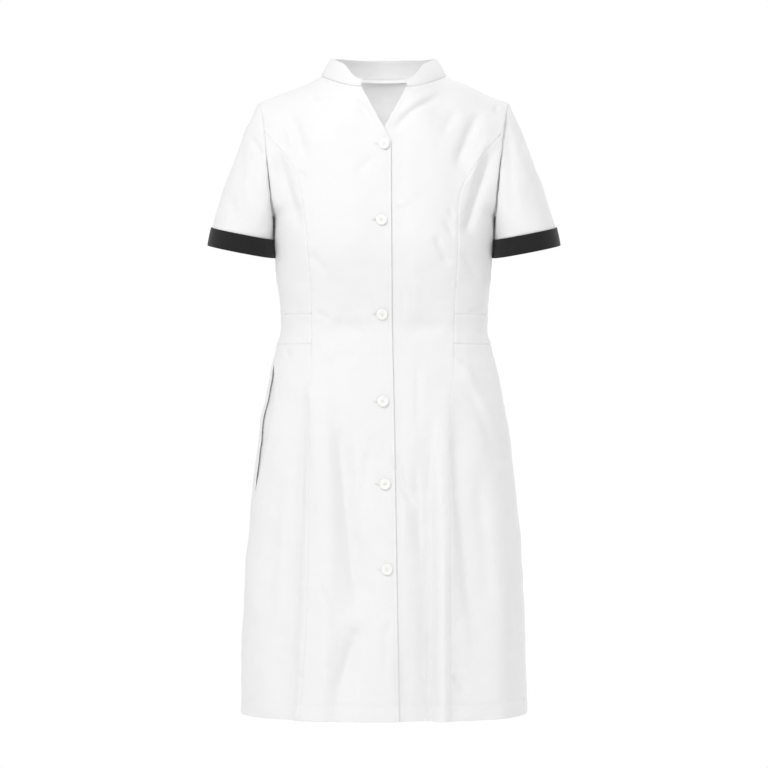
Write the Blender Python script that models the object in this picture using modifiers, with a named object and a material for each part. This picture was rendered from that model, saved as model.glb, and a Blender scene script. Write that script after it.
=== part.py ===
"""A knee-length uniform dress in its worn, hollow form: one solid for each cut and sewn piece.

Metres, +Z up, the wearer facing -Y, so that the wearer's right side is at -X.
The origin is midway between the shoulders at the height of the neck, where the wearer holds the dress up.
"""

import math
from collections import namedtuple

import bmesh
import bpy
import numpy as np
from mathutils import Matrix, Vector

CM = 0.01
MM = 0.001

# Cloth and seams
WALL = 1.5 * MM
SEAM_INSET = 0.25 * MM
SHOULDER_INSET = 0.6 * MM
ROUNDNESS = 2 / 2.25
FLARE_POWER = 5
HALVINGS = 40

# Neck and shoulders
NECK_HALF = 9.6 * CM
NECK_Z = 0.4 * CM
SHOULDER_HALF = 19.3 * CM
SHOULDER_Z = -3.7 * CM
SHOULDER_SLOPE = (NECK_Z - SHOULDER_Z) / (SHOULDER_HALF - NECK_HALF)
SHOULDER_ROUND = 11 * CM
SHOULDER_POWER = 0.56
FRONT_NECK_RISE = 3.6 * CM
BACK_NECK_RISE = 2.2 * CM
BACK_NECK_Z = 0.75 * CM
V_TOP_HALF = 3.5 * CM
V_TOP_Z = -1.7 * CM
NECK_SEAM_POWER = 1.8

# Levels of the seams that run round the body
LAP_TOP_Z = -10.0 * CM
TIP_Z = -8.2 * CM
TIP_GAP = 0.15 * CM
UNDERARM_Z = -21.5 * CM

# Front lap: the wearer's right side lies over the left
UNDER_EDGE = 1.3 * CM
UNDER_SINK = 2.2 * MM
UNDER_BLEND = (2.4 * CM, 5.0 * CM)
UNDER_SPREAD = 0.2

# Bust fullness let in by the princess seams
BUST = {"x": 9 * CM, "z": -25.5 * CM, "radius": 7 * CM, "rise": 0.9 * CM}

# Sections round the body. The flare is what the armhole's edge stands out beyond the half width
Section = namedtuple("Section", "z half_width flare front back")
SECTIONS = [
    Section(0.8, 19.8, 2.5, 8.6, 8.4),
    Section(-4, 19.4, 3.2, 8.8, 9.0),
    Section(-8, 18.8, 4.0, 9.1, 9.4),
    Section(-12, 18.2, 4.4, 9.6, 9.7),
    Section(-16, 17.6, 3.4, 10.3, 9.8),
    Section(-19, 17.2, 1.6, 10.9, 9.8),
    Section(-21.5, 16.9, 0, 11.4, 9.8),
    Section(-26, 16.55, 0, 11.9, 9.6),
    Section(-31, 16.3, 0, 11.3, 9.2),
    Section(-36.4, 16.0, 0, 10.2, 8.7),
    Section(-38.6, 15.95, 0, 9.9, 8.7),
    Section(-41, 16.5, 0, 10.2, 9.1),
    Section(-45, 17.5, 0, 11.3, 10.3),
    Section(-50, 18.45, 0, 12.6, 11.6),
    Section(-56, 19.5, 0, 13.6, 12.6),
    Section(-64, 20.4, 0, 14.4, 13.4),
    Section(-75, 21.3, 0, 15.3, 14.2),
    Section(-86, 21.85, 0, 16.1, 15.0),
    Section(-97.8, 22.2, 0, 16.8, 15.6),
]

SeamPoint = namedtuple("SeamPoint", "z right left")
PRINCESS = [
    SeamPoint(-8.2, 18.4, 18.4),
    SeamPoint(-10, 16.9, 16.9),
    SeamPoint(-11.5, 15.7, 15.6),
    SeamPoint(-15, 13.4, 13.0),
    SeamPoint(-18, 12.6, 11.6),
    SeamPoint(-21, 12.0, 11.1),
    SeamPoint(-25.4, 11.2, 10.8),
    SeamPoint(-33, 10.95, 10.75),
    SeamPoint(-45, 11.15, 10.6),
    SeamPoint(-50, 11.2, 10.1),
    SeamPoint(-70, 11.2, 9.95),
    SeamPoint(-84, 11.6, 10.0),
    SeamPoint(-97.8, 12.6, 10.0),
]

EdgePoint = namedtuple("EdgePoint", "z x")
LAP_EDGE = [
    EdgePoint(-10, 1.06),
    EdgePoint(-36, 1.2),
    EdgePoint(-50, 1.5),
    EdgePoint(-75, 1.9),
    EdgePoint(-97.8, 2.3),
]
ARMHOLE = [
    EdgePoint(-3.7, 19.3),
    EdgePoint(-5.3, 18.85),
    EdgePoint(-7.6, 18.45),
    EdgePoint(-12, 17.9),
    EdgePoint(-16, 17.4),
    EdgePoint(-19, 17.1),
    EdgePoint(-21.5, 16.9),
]

# Angle of the side seam from the centre front, in degrees
SideSeam = namedtuple("SideSeam", "z angle")
SIDE_SEAM = [
    SideSeam(-21.5, 90),
    SideSeam(-36.4, 87),
    SideSeam(-41, 82),
    SideSeam(-46, 77),
    SideSeam(-97.8, 75),
]

# Rows of points, shared by every panel so that both edges of a seam have the same points
TOP_ROWS = [-10.0, -9.2, -8.2, -7.0, -5.8, -4.7, -3.7]
BODICE_ROWS = [-36.4, -34, -31.5, -29, -26.5, -24, -21.5, -21.1, -20.3, -19, -16.5, -14, -11.5, -10]
WAIST_ROWS = [-41, -38.6, -36.4]
SKIRT_ROWS = [-97.8, -94, -90, -85.5, -81, -76.5, -72.5, -68.5, -64.5]
SKIRT_ROWS += [-61, -57.5, -54.5, -51.5, -48.6, -46, -43.6, -41]

# Pleats, drags and swags: a line through three points of the face, its half width and its height or depth.
# Each fades in over a share of its length, and out again unless it runs out at the hem
FOLD_FADE = 0.35
SIDE_FADE = 2.5 * CM
Fold = namedtuple("Fold", "face x0 z0 x1 z1 x2 z2 width depth runs_out")
FOLDS = [
    Fold("front", -11.3, -43, -10.0, -70, -10.8, -98.5, 2.6, 8.0, True),
    Fold("front", -13.7, -50, -15.4, -72, -16.2, -98.5, 1.8, -7.0, True),
    Fold("front", -7.2, -49, -6.0, -66, -3.8, -86, 1.6, -7.0, False),
    Fold("front", -4.2, -82, -5.6, -90, -7.4, -98.5, 1.8, -6.0, True),
    Fold("front", 7.3, -47, 6.9, -72, 6.3, -98.5, 1.7, -9.0, True),
    Fold("front", 9.2, -47, 8.9, -72, 9.1, -98.5, 1.5, 5.0, True),
    Fold("front", 4.2, -78, 4.6, -90, 4.8, -98.5, 2.0, -8.0, True),
    Fold("front", 10.8, -46, 12.4, -66, 15.0, -90, 1.6, -6.0, False),
    Fold("front", 17.0, -60, 17.4, -80, 17.6, -98.5, 2.0, 6.0, True),
    Fold("front", -17.0, -9, -14.9, -17, -12.0, -24.5, 1.2, -4.0, False),
    Fold("front", 17.0, -10, 14.3, -18, 11.8, -25.5, 1.2, -4.0, False),
    Fold("front", -15.4, -4.5, -13.2, -9, -12.1, -14, 1.1, -3.0, False),
    Fold("front", 15.2, -4.5, 12.8, -10, 11.0, -15.5, 1.1, -3.0, False),
    Fold("back", -14.0, -46, -14.5, -72, -15.0, -98.5, 2.2, 8.0, True),
    Fold("back", -10.2, -48, -10.0, -72, -9.8, -98.5, 1.9, -7.0, True),
    Fold("back", -5.0, -45, -5.4, -72, -5.8, -98.5, 2.4, 8.0, True),
    Fold("back", 0.2, -50, -0.6, -72, -0.9, -98.5, 2.0, -7.0, True),
    Fold("back", 5.6, -44, 5.2, -72, 5.0, -98.5, 2.6, 9.0, True),
    Fold("back", 10.4, -49, 10.8, -72, 11.0, -98.5, 2.0, -8.0, True),
    Fold("back", 14.6, -47, 15.2, -72, 15.6, -98.5, 2.1, 7.0, True),
    Fold("back", -16.0, -12, -13.0, -19, -10.0, -25, 1.6, -4.0, False),
    Fold("back", 16.0, -11, 13.4, -18, 10.4, -24, 1.6, -4.0, False),
]

# Columns of quads across each panel
CENTRE_COLUMNS = 10
NECK_COLUMNS = 4
SIDE_COLUMNS = 6
SIDE_SKIRT_COLUMNS = 9
BACK_COLUMNS = 20
BACK_SHOULDER_COLUMNS = 6
BACK_SKIRT_COLUMNS = 30
NECK_SHARE = 0.5

# Collar
COLLAR_HEIGHT = 2.8 * CM
COLLAR_END_HEIGHT = 1.1 * CM
COLLAR_SLOPE_RUN = 5.5 * CM
COLLAR_LIFT = 0.7 * MM
COLLAR_BULGE = 0.2 * CM
COLLAR_ROWS = 3
COLLAR_TOP_SCALE = (0.83, 0.9)

# Sleeve and cuff, for the wearer's left side
SLEEVE_ROWS = 7
SLEEVE_BULGE = 0.5 * CM
SLEEVE_START = 0.7 * MM
SLEEVE_START_UNDERARM = 2.3 * MM
UNDERARM_EASE = (0.2, 0.9)
CUFF_TILT = math.radians(10.8)
CUFF_NOD = math.radians(4)
CUFF_TOP = {"centre": (21.9 * CM, -0.4 * CM, -23.8 * CM), "half_width": 4.7 * CM, "half_depth": 5.3 * CM}
CUFF_LOW = {"centre": (22.2 * CM, -0.4 * CM, -26.65 * CM), "half_width": 4.98 * CM, "half_depth": 5.6 * CM}
CUFF_STAND = 0.35 * MM
CUFF_WALL = 1.6 * MM
CUFF_LIP = 1.4 * MM

# Hanging tape inside the back neck
TAPE_HALF = 3.7 * CM
TAPE_Z = (0.12 * CM, 0.62 * CM)
TAPE_WALL = 1.0 * MM
TAPE_SLACK = 2.5 * MM
TAPE_SEAT = 1.8 * MM
TAPE_COLUMNS = 8

# Side seam pockets
POCKET_TOP_Z = -43.6 * CM
POCKET_LOW_Z = -64.5 * CM
POCKET_SPAN = 27.0
POCKET_GAPE = 13.0
POCKET_WALL = 1.0 * MM
POCKET_FRONT_DEPTH = 2.4 * MM
POCKET_BACK_DEPTH = 6.0 * MM
POCKET_LAP = 3.0
POCKET_TOP_SHARE = 0.7
POCKET_WIDENING = 8 * CM
POCKET_COLUMNS = 3
GAPE_POWERS = (0.8, 1.3)

# Buttons down the lap
Button = namedtuple("Button", "x z")
BUTTONS = [
    Button(0.0, -10.6),
    Button(-0.38, -22.3),
    Button(-0.3, -36.5),
    Button(-0.15, -49.8),
    Button(0.15, -62.2),
    Button(0.45, -75.0),
]
BUTTON_RADIUS = 8.5 * MM
BUTTON_HEIGHT = 3.4 * MM
BUTTON_SEAT = 0.5 * MM
BUTTON_STEPS = 16
BUTTON_EDGE = 0.3
BUTTON_FOOT = 0.93
DOME_POINTS = 5

WHITE_CLOTH = {"colour": (0.90, 0.90, 0.90, 1), "roughness": 0.85}
BLACK_CLOTH = {"colour": (0.024, 0.024, 0.026, 1), "roughness": 0.8}
WHITE_PLASTIC = {"colour": (0.88, 0.88, 0.87, 1), "roughness": 0.3}


def curve_through(knots, values):
    """A smooth curve through a table's points that never overshoots between them."""
    order = np.argsort(knots)
    x = np.array(knots, float)[order]
    y = np.array(values, float)[order]
    step = np.diff(x)
    slope = np.diff(y) / step
    tangent = np.concatenate([slope[:1], np.zeros(len(x) - 2), slope[-1:]])
    for i in range(1, len(x) - 1):
        if slope[i - 1] * slope[i] > 0:
            tangent[i] = 2 * slope[i - 1] * slope[i] / (slope[i - 1] + slope[i])

    def at(where):
        where = np.clip(where, x[0], x[-1])
        i = np.clip(np.searchsorted(x, where) - 1, 0, len(step) - 1)
        s = (where - x[i]) / step[i]
        start = (1 + 2 * s) * (1 - s) ** 2 * y[i] + s * (1 - s) ** 2 * step[i] * tangent[i]
        end = s**2 * (3 - 2 * s) * y[i + 1] + s**2 * (s - 1) * step[i] * tangent[i + 1]
        return start + end

    return at


def from_table(rows, column, unit=CM):
    """A column of a table as a function of the height, in metres or in the unit given."""
    return curve_through([row.z * CM for row in rows], [getattr(row, column) * unit for row in rows])


half_width = from_table(SECTIONS, "half_width")
flare = from_table(SECTIONS, "flare")
front_depth = from_table(SECTIONS, "front")
back_depth = from_table(SECTIONS, "back")
lap_edge = from_table(LAP_EDGE, "x")
armhole_x = from_table(ARMHOLE, "x")
side_angle = from_table(SIDE_SEAM, "angle", math.radians(1))
princess_x = {-1: from_table(PRINCESS, "right"), 1: from_table(PRINCESS, "left")}


def smooth(s):
    """Eases from 0 to 1."""
    s = np.clip(s, 0, 1)
    return s * s * (3 - 2 * s)


def shoulder_line(x, rise):
    """Height of the shoulder seam at x, carried on over the neck opening, which the cloth rounds up to."""
    x = np.abs(x)
    line = NECK_Z - SHOULDER_SLOPE * (x - NECK_HALF)
    inward = np.clip((NECK_HALF - x) / NECK_HALF, 0, None)
    cubic = -(SHOULDER_SLOPE * NECK_HALF + 2 * rise)
    return line + (rise - cubic) * inward**2 + cubic * inward**3


def reach(sine, z):
    """Distance from the middle, at a height, of the place on the worn form with this sine of its angle."""
    return half_width(z) * sine**ROUNDNESS + flare(z) * sine**FLARE_POWER


def body(angle, z):
    """The plain worn form. The angle is 0 at the centre front, pi at the back and less than 0 at -X."""
    s = np.sin(angle)
    c = np.cos(angle)
    x = np.sign(s) * reach(np.abs(s), z)
    depth = np.where(c > 0, front_depth(z), back_depth(z))
    rise = np.where(c > 0, FRONT_NECK_RISE, BACK_NECK_RISE)
    drop = np.clip((shoulder_line(x, rise) - z) / SHOULDER_ROUND, 0, 1)
    y = -np.sign(c) * depth * np.abs(c) ** ROUNDNESS * np.sin(drop * math.pi / 2) ** SHOULDER_POWER
    return np.stack([x, y, z + 0 * x], axis=-1)


def body_normal(angle, z):
    """Outward direction of the worn form. Near the shoulder the step along it follows the seam."""
    turn = 1e-4
    lift = 1e-5
    x0 = body(angle - turn, z)[..., 0]
    x1 = body(angle + turn, z)[..., 0]
    rise = np.where(np.cos(angle) > 0, FRONT_NECK_RISE, BACK_NECK_RISE)
    near = shoulder_line(x0, rise) - z < SHOULDER_ROUND
    shift = np.where(near, (shoulder_line(x1, rise) - shoulder_line(x0, rise)) / 2, 0)
    along = body(angle + turn, z + shift) - body(angle - turn, z - shift)
    up = body(angle, z + lift) - body(angle, z - lift)
    normal = np.cross(along, up)
    return normal / np.linalg.norm(normal, axis=-1, keepdims=True)


def fold_line(fold, steps=14):
    """Points along a fold's line, a curve through its three points."""
    s = np.linspace(0, 1, steps)[:, None]
    ends = np.array([[fold.x0, fold.z0], [fold.x1, fold.z1], [fold.x2, fold.z2]]) * CM
    return ends[0] * (1 - s) * (1 - 2 * s) + ends[1] * 4 * s * (1 - s) + ends[2] * s * (2 * s - 1)


def fold_height(fold, x, z):
    """How far a fold lifts the cloth, or sinks it, at a point of its face."""
    line = fold_line(fold)
    best = np.full(np.shape(x), np.inf)
    place = np.zeros(np.shape(x))
    steps = len(line) - 1
    for i in range(steps):
        run = line[i + 1] - line[i]
        share = np.clip(((x - line[i, 0]) * run[0] + (z - line[i, 1]) * run[1]) / (run @ run), 0, 1)
        away = np.hypot(x - line[i, 0] - share * run[0], z - line[i, 1] - share * run[1])
        place = np.where(away < best, (i + share) / steps, place)
        best = np.minimum(away, best)
    fade = smooth(place / FOLD_FADE)
    if not fold.runs_out:
        fade = fade * smooth((1 - place) / FOLD_FADE)
    return fold.depth * MM * fade * np.exp(-((best / (fold.width * CM)) ** 2))


def relief(angle, z):
    """The folds and the bust fullness, measured outwards from the plain form."""
    place = body(angle, z)
    x = place[..., 0]
    front = np.cos(angle) > 0
    total = np.zeros(np.shape(x))
    side_fade = smooth((reach(1.0, z) - np.abs(x)) / SIDE_FADE)
    for fold in FOLDS:
        on_face = front if fold.face == "front" else ~front
        total = total + np.where(on_face, fold_height(fold, x, z) * side_fade, 0)
    spread = ((np.abs(x) - BUST["x"]) ** 2 + (z - BUST["z"]) ** 2) / BUST["radius"] ** 2
    return total + np.where(front, BUST["rise"] * np.exp(-spread), 0)


def cloth(angle, z, out=0.0):
    """Points of the middle of the cloth, moved out by a further distance if one is given."""
    return body(angle, z) + body_normal(angle, z) * (relief(angle, z) + out)[..., None]


def angle_at(x, z, face):
    """The angle of a point given by its x on the front or the back, found by halving."""
    low = 0.0 * (x + z)
    high = low + 1
    for _ in range(HALVINGS):
        middle = (low + high) / 2
        beyond = reach(middle, z) > np.abs(x)
        high = np.where(beyond, middle, high)
        low = np.where(beyond, low, middle)
    turned = np.arcsin(low)
    if face == "back":
        turned = math.pi - turned
    return np.where(np.asarray(x) < 0, -turned, turned)


def take_in(points, low=SEAM_INSET, top=SEAM_INSET, first=SEAM_INSET, last=SEAM_INSET):
    """Draws each edge of a grid of points in along the grid, which leaves the gap at the seam."""
    points = points.copy()

    def draw(edge, beside, amount):
        way = beside - edge
        return edge + way / np.linalg.norm(way, axis=-1, keepdims=True) * amount

    points[0] = draw(points[0], points[1], low)
    points[-1] = draw(points[-1], points[-2], top)
    points[:, 0] = draw(points[:, 0], points[:, 1], first)
    points[:, -1] = draw(points[:, -1], points[:, -2], last)
    return points


def start_scene():
    """Clears the scene and makes the collection that holds the dress."""
    for old in list(bpy.data.objects):
        bpy.data.objects.remove(old, do_unlink=True)
    dress = bpy.data.collections.new("uniform_dress")
    bpy.context.scene.collection.children.link(dress)
    return dress


def finish_material(name, finish):
    """A material with a piece's colour and roughness."""
    material = bpy.data.materials.new(name)
    material.use_nodes = True
    shader = material.node_tree.nodes["Principled BSDF"]
    shader.inputs["Base Color"].default_value = finish["colour"]
    shader.inputs["Roughness"].default_value = finish["roughness"]
    shader.inputs["Metallic"].default_value = 0.0
    return material


def add_piece(dress, name, mesh, finish):
    """Puts a mesh in the dress as a named piece with its own material, shaded smooth."""
    piece = bpy.data.objects.new(name, mesh)
    dress.objects.link(piece)
    mesh.materials.append(finish_material(name, finish))
    mesh.shade_smooth()
    return piece


def sheet(dress, name, points, finish, wall=WALL, ring=False, flip=False):
    """A cloth wall on a grid of points, rows going up and columns going round, ring for a closed tube."""
    rows, columns = points.shape[:2]
    across = columns if ring else columns - 1
    faces = []
    for row in range(rows - 1):
        for column in range(across):
            beside = (column + 1) % columns
            corners = [(row, column), (row, beside), (row + 1, beside), (row + 1, column)]
            faces.append([r * columns + c for r, c in (reversed(corners) if flip else corners)])
    mesh = bpy.data.meshes.new(name)
    mesh.from_pydata([tuple(p) for p in points.reshape(-1, 3)], [], faces)
    piece = add_piece(dress, name, mesh, finish)
    shell = piece.modifiers.new("Cloth", "SOLIDIFY")
    shell.thickness = wall
    shell.offset = 0
    return piece


def heights(rows):
    """Levels of a table's rows, in metres."""
    return np.array(rows) * CM


def neck_edge(share):
    """The front's top edge from the top of the V, share 0, past the neck point to the shoulder, share 1."""
    turn = NECK_COLUMNS / CENTRE_COLUMNS
    on_neck = share <= turn
    along_neck = np.clip(share / turn, 0, 1)
    along_shoulder = np.clip((share - turn) / (1 - turn), 0, 1)
    x = np.where(
        on_neck,
        V_TOP_HALF + (NECK_HALF - V_TOP_HALF) * along_neck,
        NECK_HALF + (SHOULDER_HALF - NECK_HALF) * along_shoulder,
    )
    z = np.where(
        on_neck,
        V_TOP_Z + (NECK_Z - V_TOP_Z) * along_neck**NECK_SEAM_POWER,
        NECK_Z + (SHOULDER_Z - NECK_Z) * along_shoulder,
    )
    return x, z


def outer_edge(side, z):
    """The centre front's outer edge above the lap: the princess seam, then the armhole."""
    return np.where(z <= TIP_Z, princess_x[side](z), armhole_x(z))


def centre_front_grid(side):
    """Places on the face of a centre front, rows going up, columns from its free edge to its outer seam."""
    share = np.linspace(0, 1, CENTRE_COLUMNS + 1)
    low = heights(SKIRT_ROWS + WAIST_ROWS[1:] + BODICE_ROWS[1:])
    under = np.minimum(UNDER_EDGE, lap_edge(LAP_TOP_Z) + UNDER_SPREAD * (LAP_TOP_Z - low))
    lap = lap_edge(low) if side < 0 else under
    x_low = -lap[:, None] + (princess_x[side](low) + lap)[:, None] * share
    z_low = low[:, None] + 0 * share
    climb = (heights(TOP_ROWS) - LAP_TOP_Z) / (SHOULDER_Z - LAP_TOP_Z)
    climb = climb[1:, None]
    x_top, z_top = neck_edge(share)
    x_high = x_low[-1] * (1 - climb) + x_top * climb
    z_high = LAP_TOP_Z * (1 - climb) + z_top * climb
    side_z = heights(TOP_ROWS)[1:, None]
    x_high = x_high + (outer_edge(side, side_z) - x_high[:, -1:]) * share
    return np.vstack([x_low, x_high]) * side, np.vstack([z_low, z_high])


def under_sink(x):
    """How far the under front lies below the lap, easing out beyond it."""
    near, far = UNDER_BLEND
    return -UNDER_SINK * (1 - smooth((x - near) / (far - near)))


def centre_fronts(dress):
    """The two fronts from the hem to the shoulder, the wearer's right one lapping over."""
    for side, name in ((-1, "front_right"), (1, "front_left")):
        x, z = centre_front_grid(side)
        out = under_sink(x) if side > 0 else np.zeros(x.shape)
        points = cloth(angle_at(x, z, "front"), z, out)
        points = take_in(points, low=0, top=SHOULDER_INSET, first=0)
        sheet(dress, name, points, WHITE_CLOTH, flip=side < 0)


def side_rows(side, rows, columns, gape=0.0):
    """Angles and heights of a side front panel, from the princess seam to the armhole or the side seam."""
    z = heights(rows)
    inner = np.abs(angle_at(princess_x[side](z), z, "front"))
    outer = np.where(z > UNDERARM_Z, np.abs(angle_at(armhole_x(z), z, "front")), side_angle(z))
    outer = outer - gape_angle(z, gape)
    share = np.linspace(0, 1, columns + 1)
    return side * (inner[:, None] + (outer - inner)[:, None] * share), z[:, None] + 0 * share


def gape_angle(z, gape):
    """How far the front of a pocket stands open at a height."""
    share = np.clip((POCKET_TOP_Z - z) / (POCKET_TOP_Z - POCKET_LOW_Z), 0, 1)
    drop, ease = GAPE_POWERS
    return math.radians(gape) * np.sin(math.pi * share**drop) ** ease


def side_fronts(dress):
    """The side bodices, waist insets and side skirts, between the princess seams and the sides."""
    bodice = BODICE_ROWS + [TOP_ROWS[1], (TIP_Z - TIP_GAP) / CM]
    for side, word, gape in ((-1, "right", POCKET_GAPE), (1, "left", 0.0)):
        for name, rows in (("side_bodice", bodice), ("waist_inset", WAIST_ROWS), ("side_skirt", SKIRT_ROWS)):
            skirt = name == "side_skirt"
            columns = SIDE_SKIRT_COLUMNS if skirt else SIDE_COLUMNS
            points = cloth(*side_rows(side, rows, columns, gape if skirt else 0.0))
            points = take_in(points, low=0 if skirt else SEAM_INSET)
            sheet(dress, f"{name}_{word}", points, WHITE_CLOTH, flip=side < 0)


def back_share():
    """Places of the back's columns from the wearer's left, 1, to the right, -1, one at each neck point."""
    shoulder = np.linspace(1, NECK_SHARE, BACK_SHOULDER_COLUMNS + 1)
    neck = np.linspace(NECK_SHARE, -NECK_SHARE, BACK_COLUMNS - 2 * BACK_SHOULDER_COLUMNS + 1)
    return np.concatenate([shoulder, neck[1:], -shoulder[::-1][1:]])


def back_rows(rows, share):
    """Angles and heights of a back panel between the two side seams or armholes."""
    z = heights(rows)
    outer = np.where(z > UNDERARM_Z, np.abs(angle_at(armhole_x(z), z, "back")), side_angle(z))
    # One turn from the left side through the centre back to the right side
    angle = math.pi - (math.pi - outer)[:, None] * share
    return angle, z[:, None] + 0 * share


def back_neck_z(x):
    """Height of the back neck seam at x."""
    return NECK_Z + (BACK_NECK_Z - NECK_Z) * (1 - (x / NECK_HALF) ** 2)


def back_yoke():
    """Angles and heights of the back above the lap's level, up to the shoulder seams and the neck."""
    share = back_share()
    on_neck = np.abs(share) <= NECK_SHARE
    past_neck = (np.abs(share) - NECK_SHARE) / (1 - NECK_SHARE)
    shoulder_x = np.sign(share) * (NECK_HALF + past_neck * (SHOULDER_HALF - NECK_HALF))
    top_x = np.where(on_neck, share / NECK_SHARE * NECK_HALF, shoulder_x)
    shoulder_z = NECK_Z - SHOULDER_SLOPE * (np.abs(top_x) - NECK_HALF)
    top_z = np.where(on_neck, back_neck_z(top_x), shoulder_z)
    base_angle, _ = back_rows([TOP_ROWS[0]], share)
    base_x = body(base_angle, np.full(base_angle.shape, LAP_TOP_Z))[0, :, 0]
    climb = ((heights(TOP_ROWS) - LAP_TOP_Z) / (SHOULDER_Z - LAP_TOP_Z))[1:, None]
    x = base_x * (1 - climb) + top_x * climb
    z = LAP_TOP_Z * (1 - climb) + top_z * climb
    side_z = heights(TOP_ROWS)[1:, None]
    x = x + (armhole_x(side_z) - x[:, :1]) * share
    return np.where(x < 0, 2 * math.pi, 0) + angle_at(x, z, "back"), z


def backs(dress):
    """The back bodice, waistband and skirt, each in one piece from side to side."""
    share = back_share()
    skirt_share = np.linspace(1, -1, BACK_SKIRT_COLUMNS + 1)
    low_angle, low_z = back_rows(BODICE_ROWS, share)
    yoke_angle, yoke_z = back_yoke()
    points = cloth(np.vstack([low_angle, yoke_angle]), np.vstack([low_z, yoke_z]))
    sheet(dress, "back_bodice", take_in(points, top=SHOULDER_INSET), WHITE_CLOTH)
    sheet(dress, "back_waistband", take_in(cloth(*back_rows(WAIST_ROWS, share))), WHITE_CLOTH)
    sheet(dress, "back_skirt", take_in(cloth(*back_rows(SKIRT_ROWS, skirt_share)), low=0), WHITE_CLOTH)


def armhole_loop(side):
    """Points of an armhole from the shoulder down the front, under the arm and up the back."""
    levels = heights([z for z in reversed(BODICE_ROWS + TOP_ROWS[1:]) if z * CM >= UNDERARM_Z])
    front = cloth(angle_at(side * armhole_x(levels), levels, "front"), levels)
    back = cloth(angle_at(side * armhole_x(levels), levels, "back"), levels)
    return np.vstack([front, back[-2:0:-1]])


def cuff_ring(ring, turn, side):
    """The oval of a cuff at one of its edges, turn 0 at the outer end and pi beside the body."""
    centre = np.array(ring["centre"])
    outward = np.array([math.cos(CUFF_TILT), 0, math.sin(CUFF_TILT)])
    forward = np.array([0, -math.cos(CUFF_NOD), -math.sin(CUFF_NOD)])
    across = outward * np.cos(turn)[..., None] * ring["half_width"]
    points = centre + across + forward * np.sin(turn)[..., None] * ring["half_depth"]
    return points * np.array([side, 1, 1])


def loop_turns(loop):
    """Turns round the sleeve of an armhole's points, by distance along it, half a turn for each face."""
    half = len(loop) // 2
    closed = np.vstack([loop, loop[:1]])
    lengths = np.linalg.norm(np.diff(closed, axis=0), axis=1)
    front = np.concatenate([[0], np.cumsum(lengths[:half])])
    back = np.concatenate([[0], np.cumsum(lengths[half:])])
    return np.concatenate([front / front[-1], 1 + back[1:-1] / back[-1]]) * math.pi


def sleeve_grid(side):
    """Rows of a sleeve from the armhole to its end inside the cuff, and the turns of its columns."""
    loop = armhole_loop(side)
    turn = loop_turns(loop)
    near, far = UNDERARM_EASE
    under = smooth((-np.cos(turn) - near) / (far - near))
    start = SLEEVE_START + (SLEEVE_START_UNDERARM - SLEEVE_START) * under
    loop = loop + np.array([side, 0, 0]) * start[:, None]
    top = cuff_ring(CUFF_TOP, turn, side)
    low = cuff_ring(CUFF_LOW, turn, side)
    rows = []
    for share in np.linspace(0, 1, SLEEVE_ROWS + 1):
        bulge = SLEEVE_BULGE * 4 * share * (1 - share)
        out = np.stack([side * np.clip(np.cos(turn), 0, 1), -np.sin(turn), 0 * turn], axis=-1)
        rows.append(loop * (1 - share) + top * share + out * bulge)
    seat = (CUFF_LIP + CUFF_STAND) / abs(CUFF_TOP["centre"][2] - CUFF_LOW["centre"][2])
    for share in (1 / 2, 1 - seat):
        rows.append(top * (1 - share) + low * share)
    return np.array(rows), turn


def sleeves(dress):
    """The two short sleeves with their cuffs."""
    for side, word in ((-1, "right"), (1, "left")):
        points, turn = sleeve_grid(side)
        sheet(dress, f"sleeve_{word}", points, WHITE_CLOTH, ring=True, flip=side < 0)
        cuff(dress, f"cuff_{word}", turn, side)


def cuff(dress, name, turn, side):
    """A band round the end of the sleeve with a lip under it, as one section carried round."""
    top = cuff_ring(CUFF_TOP, turn, side)
    low = cuff_ring(CUFF_LOW, turn, side)
    height = np.linalg.norm(top - low, axis=1, keepdims=True)
    up = (top - low) / height
    ahead = np.roll(low, -1, axis=0) - np.roll(low, 1, axis=0)
    out = np.cross(ahead, up) * side
    out = -out / np.linalg.norm(out, axis=1, keepdims=True)
    inner = WALL / 2 + CUFF_STAND
    outer = inner + CUFF_WALL
    lip = CUFF_LIP / height
    section = [(-WALL / 2, 0), (outer, 0), (outer, 1), (inner, 1), (inner, lip), (-WALL / 2, lip)]
    rings = [low + out * away + (top - low) * share for away, share in section]
    count = len(turn)
    mesh = bpy.data.meshes.new(name)
    shape = bmesh.new()
    loops = [[shape.verts.new(point) for point in ring] for ring in rings]
    for first, second in zip(loops, loops[1:] + loops[:1]):
        for i in range(count):
            shape.faces.new([first[i], first[(i + 1) % count], second[(i + 1) % count], second[i]])
    bmesh.ops.recalc_face_normals(shape, faces=shape.faces)
    shape.to_mesh(mesh)
    shape.free()
    add_piece(dress, name, mesh, BLACK_CLOTH)


def neck_seam():
    """Points of the neck seam from the wearer's right end of the collar round the back to the left end."""
    share = np.linspace(0, NECK_COLUMNS / CENTRE_COLUMNS, NECK_COLUMNS + 1)
    x, z = neck_edge(share)
    right = cloth(angle_at(-x, z, "front"), z)
    back_x = np.linspace(-NECK_HALF, NECK_HALF, BACK_COLUMNS - 2 * BACK_SHOULDER_COLUMNS + 1)[1:-1]
    back_z = back_neck_z(back_x)
    back = cloth(angle_at(back_x, back_z, "back"), back_z)
    left = right[::-1] * np.array([-1, 1, 1])
    return np.vstack([right, back, left])


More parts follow.
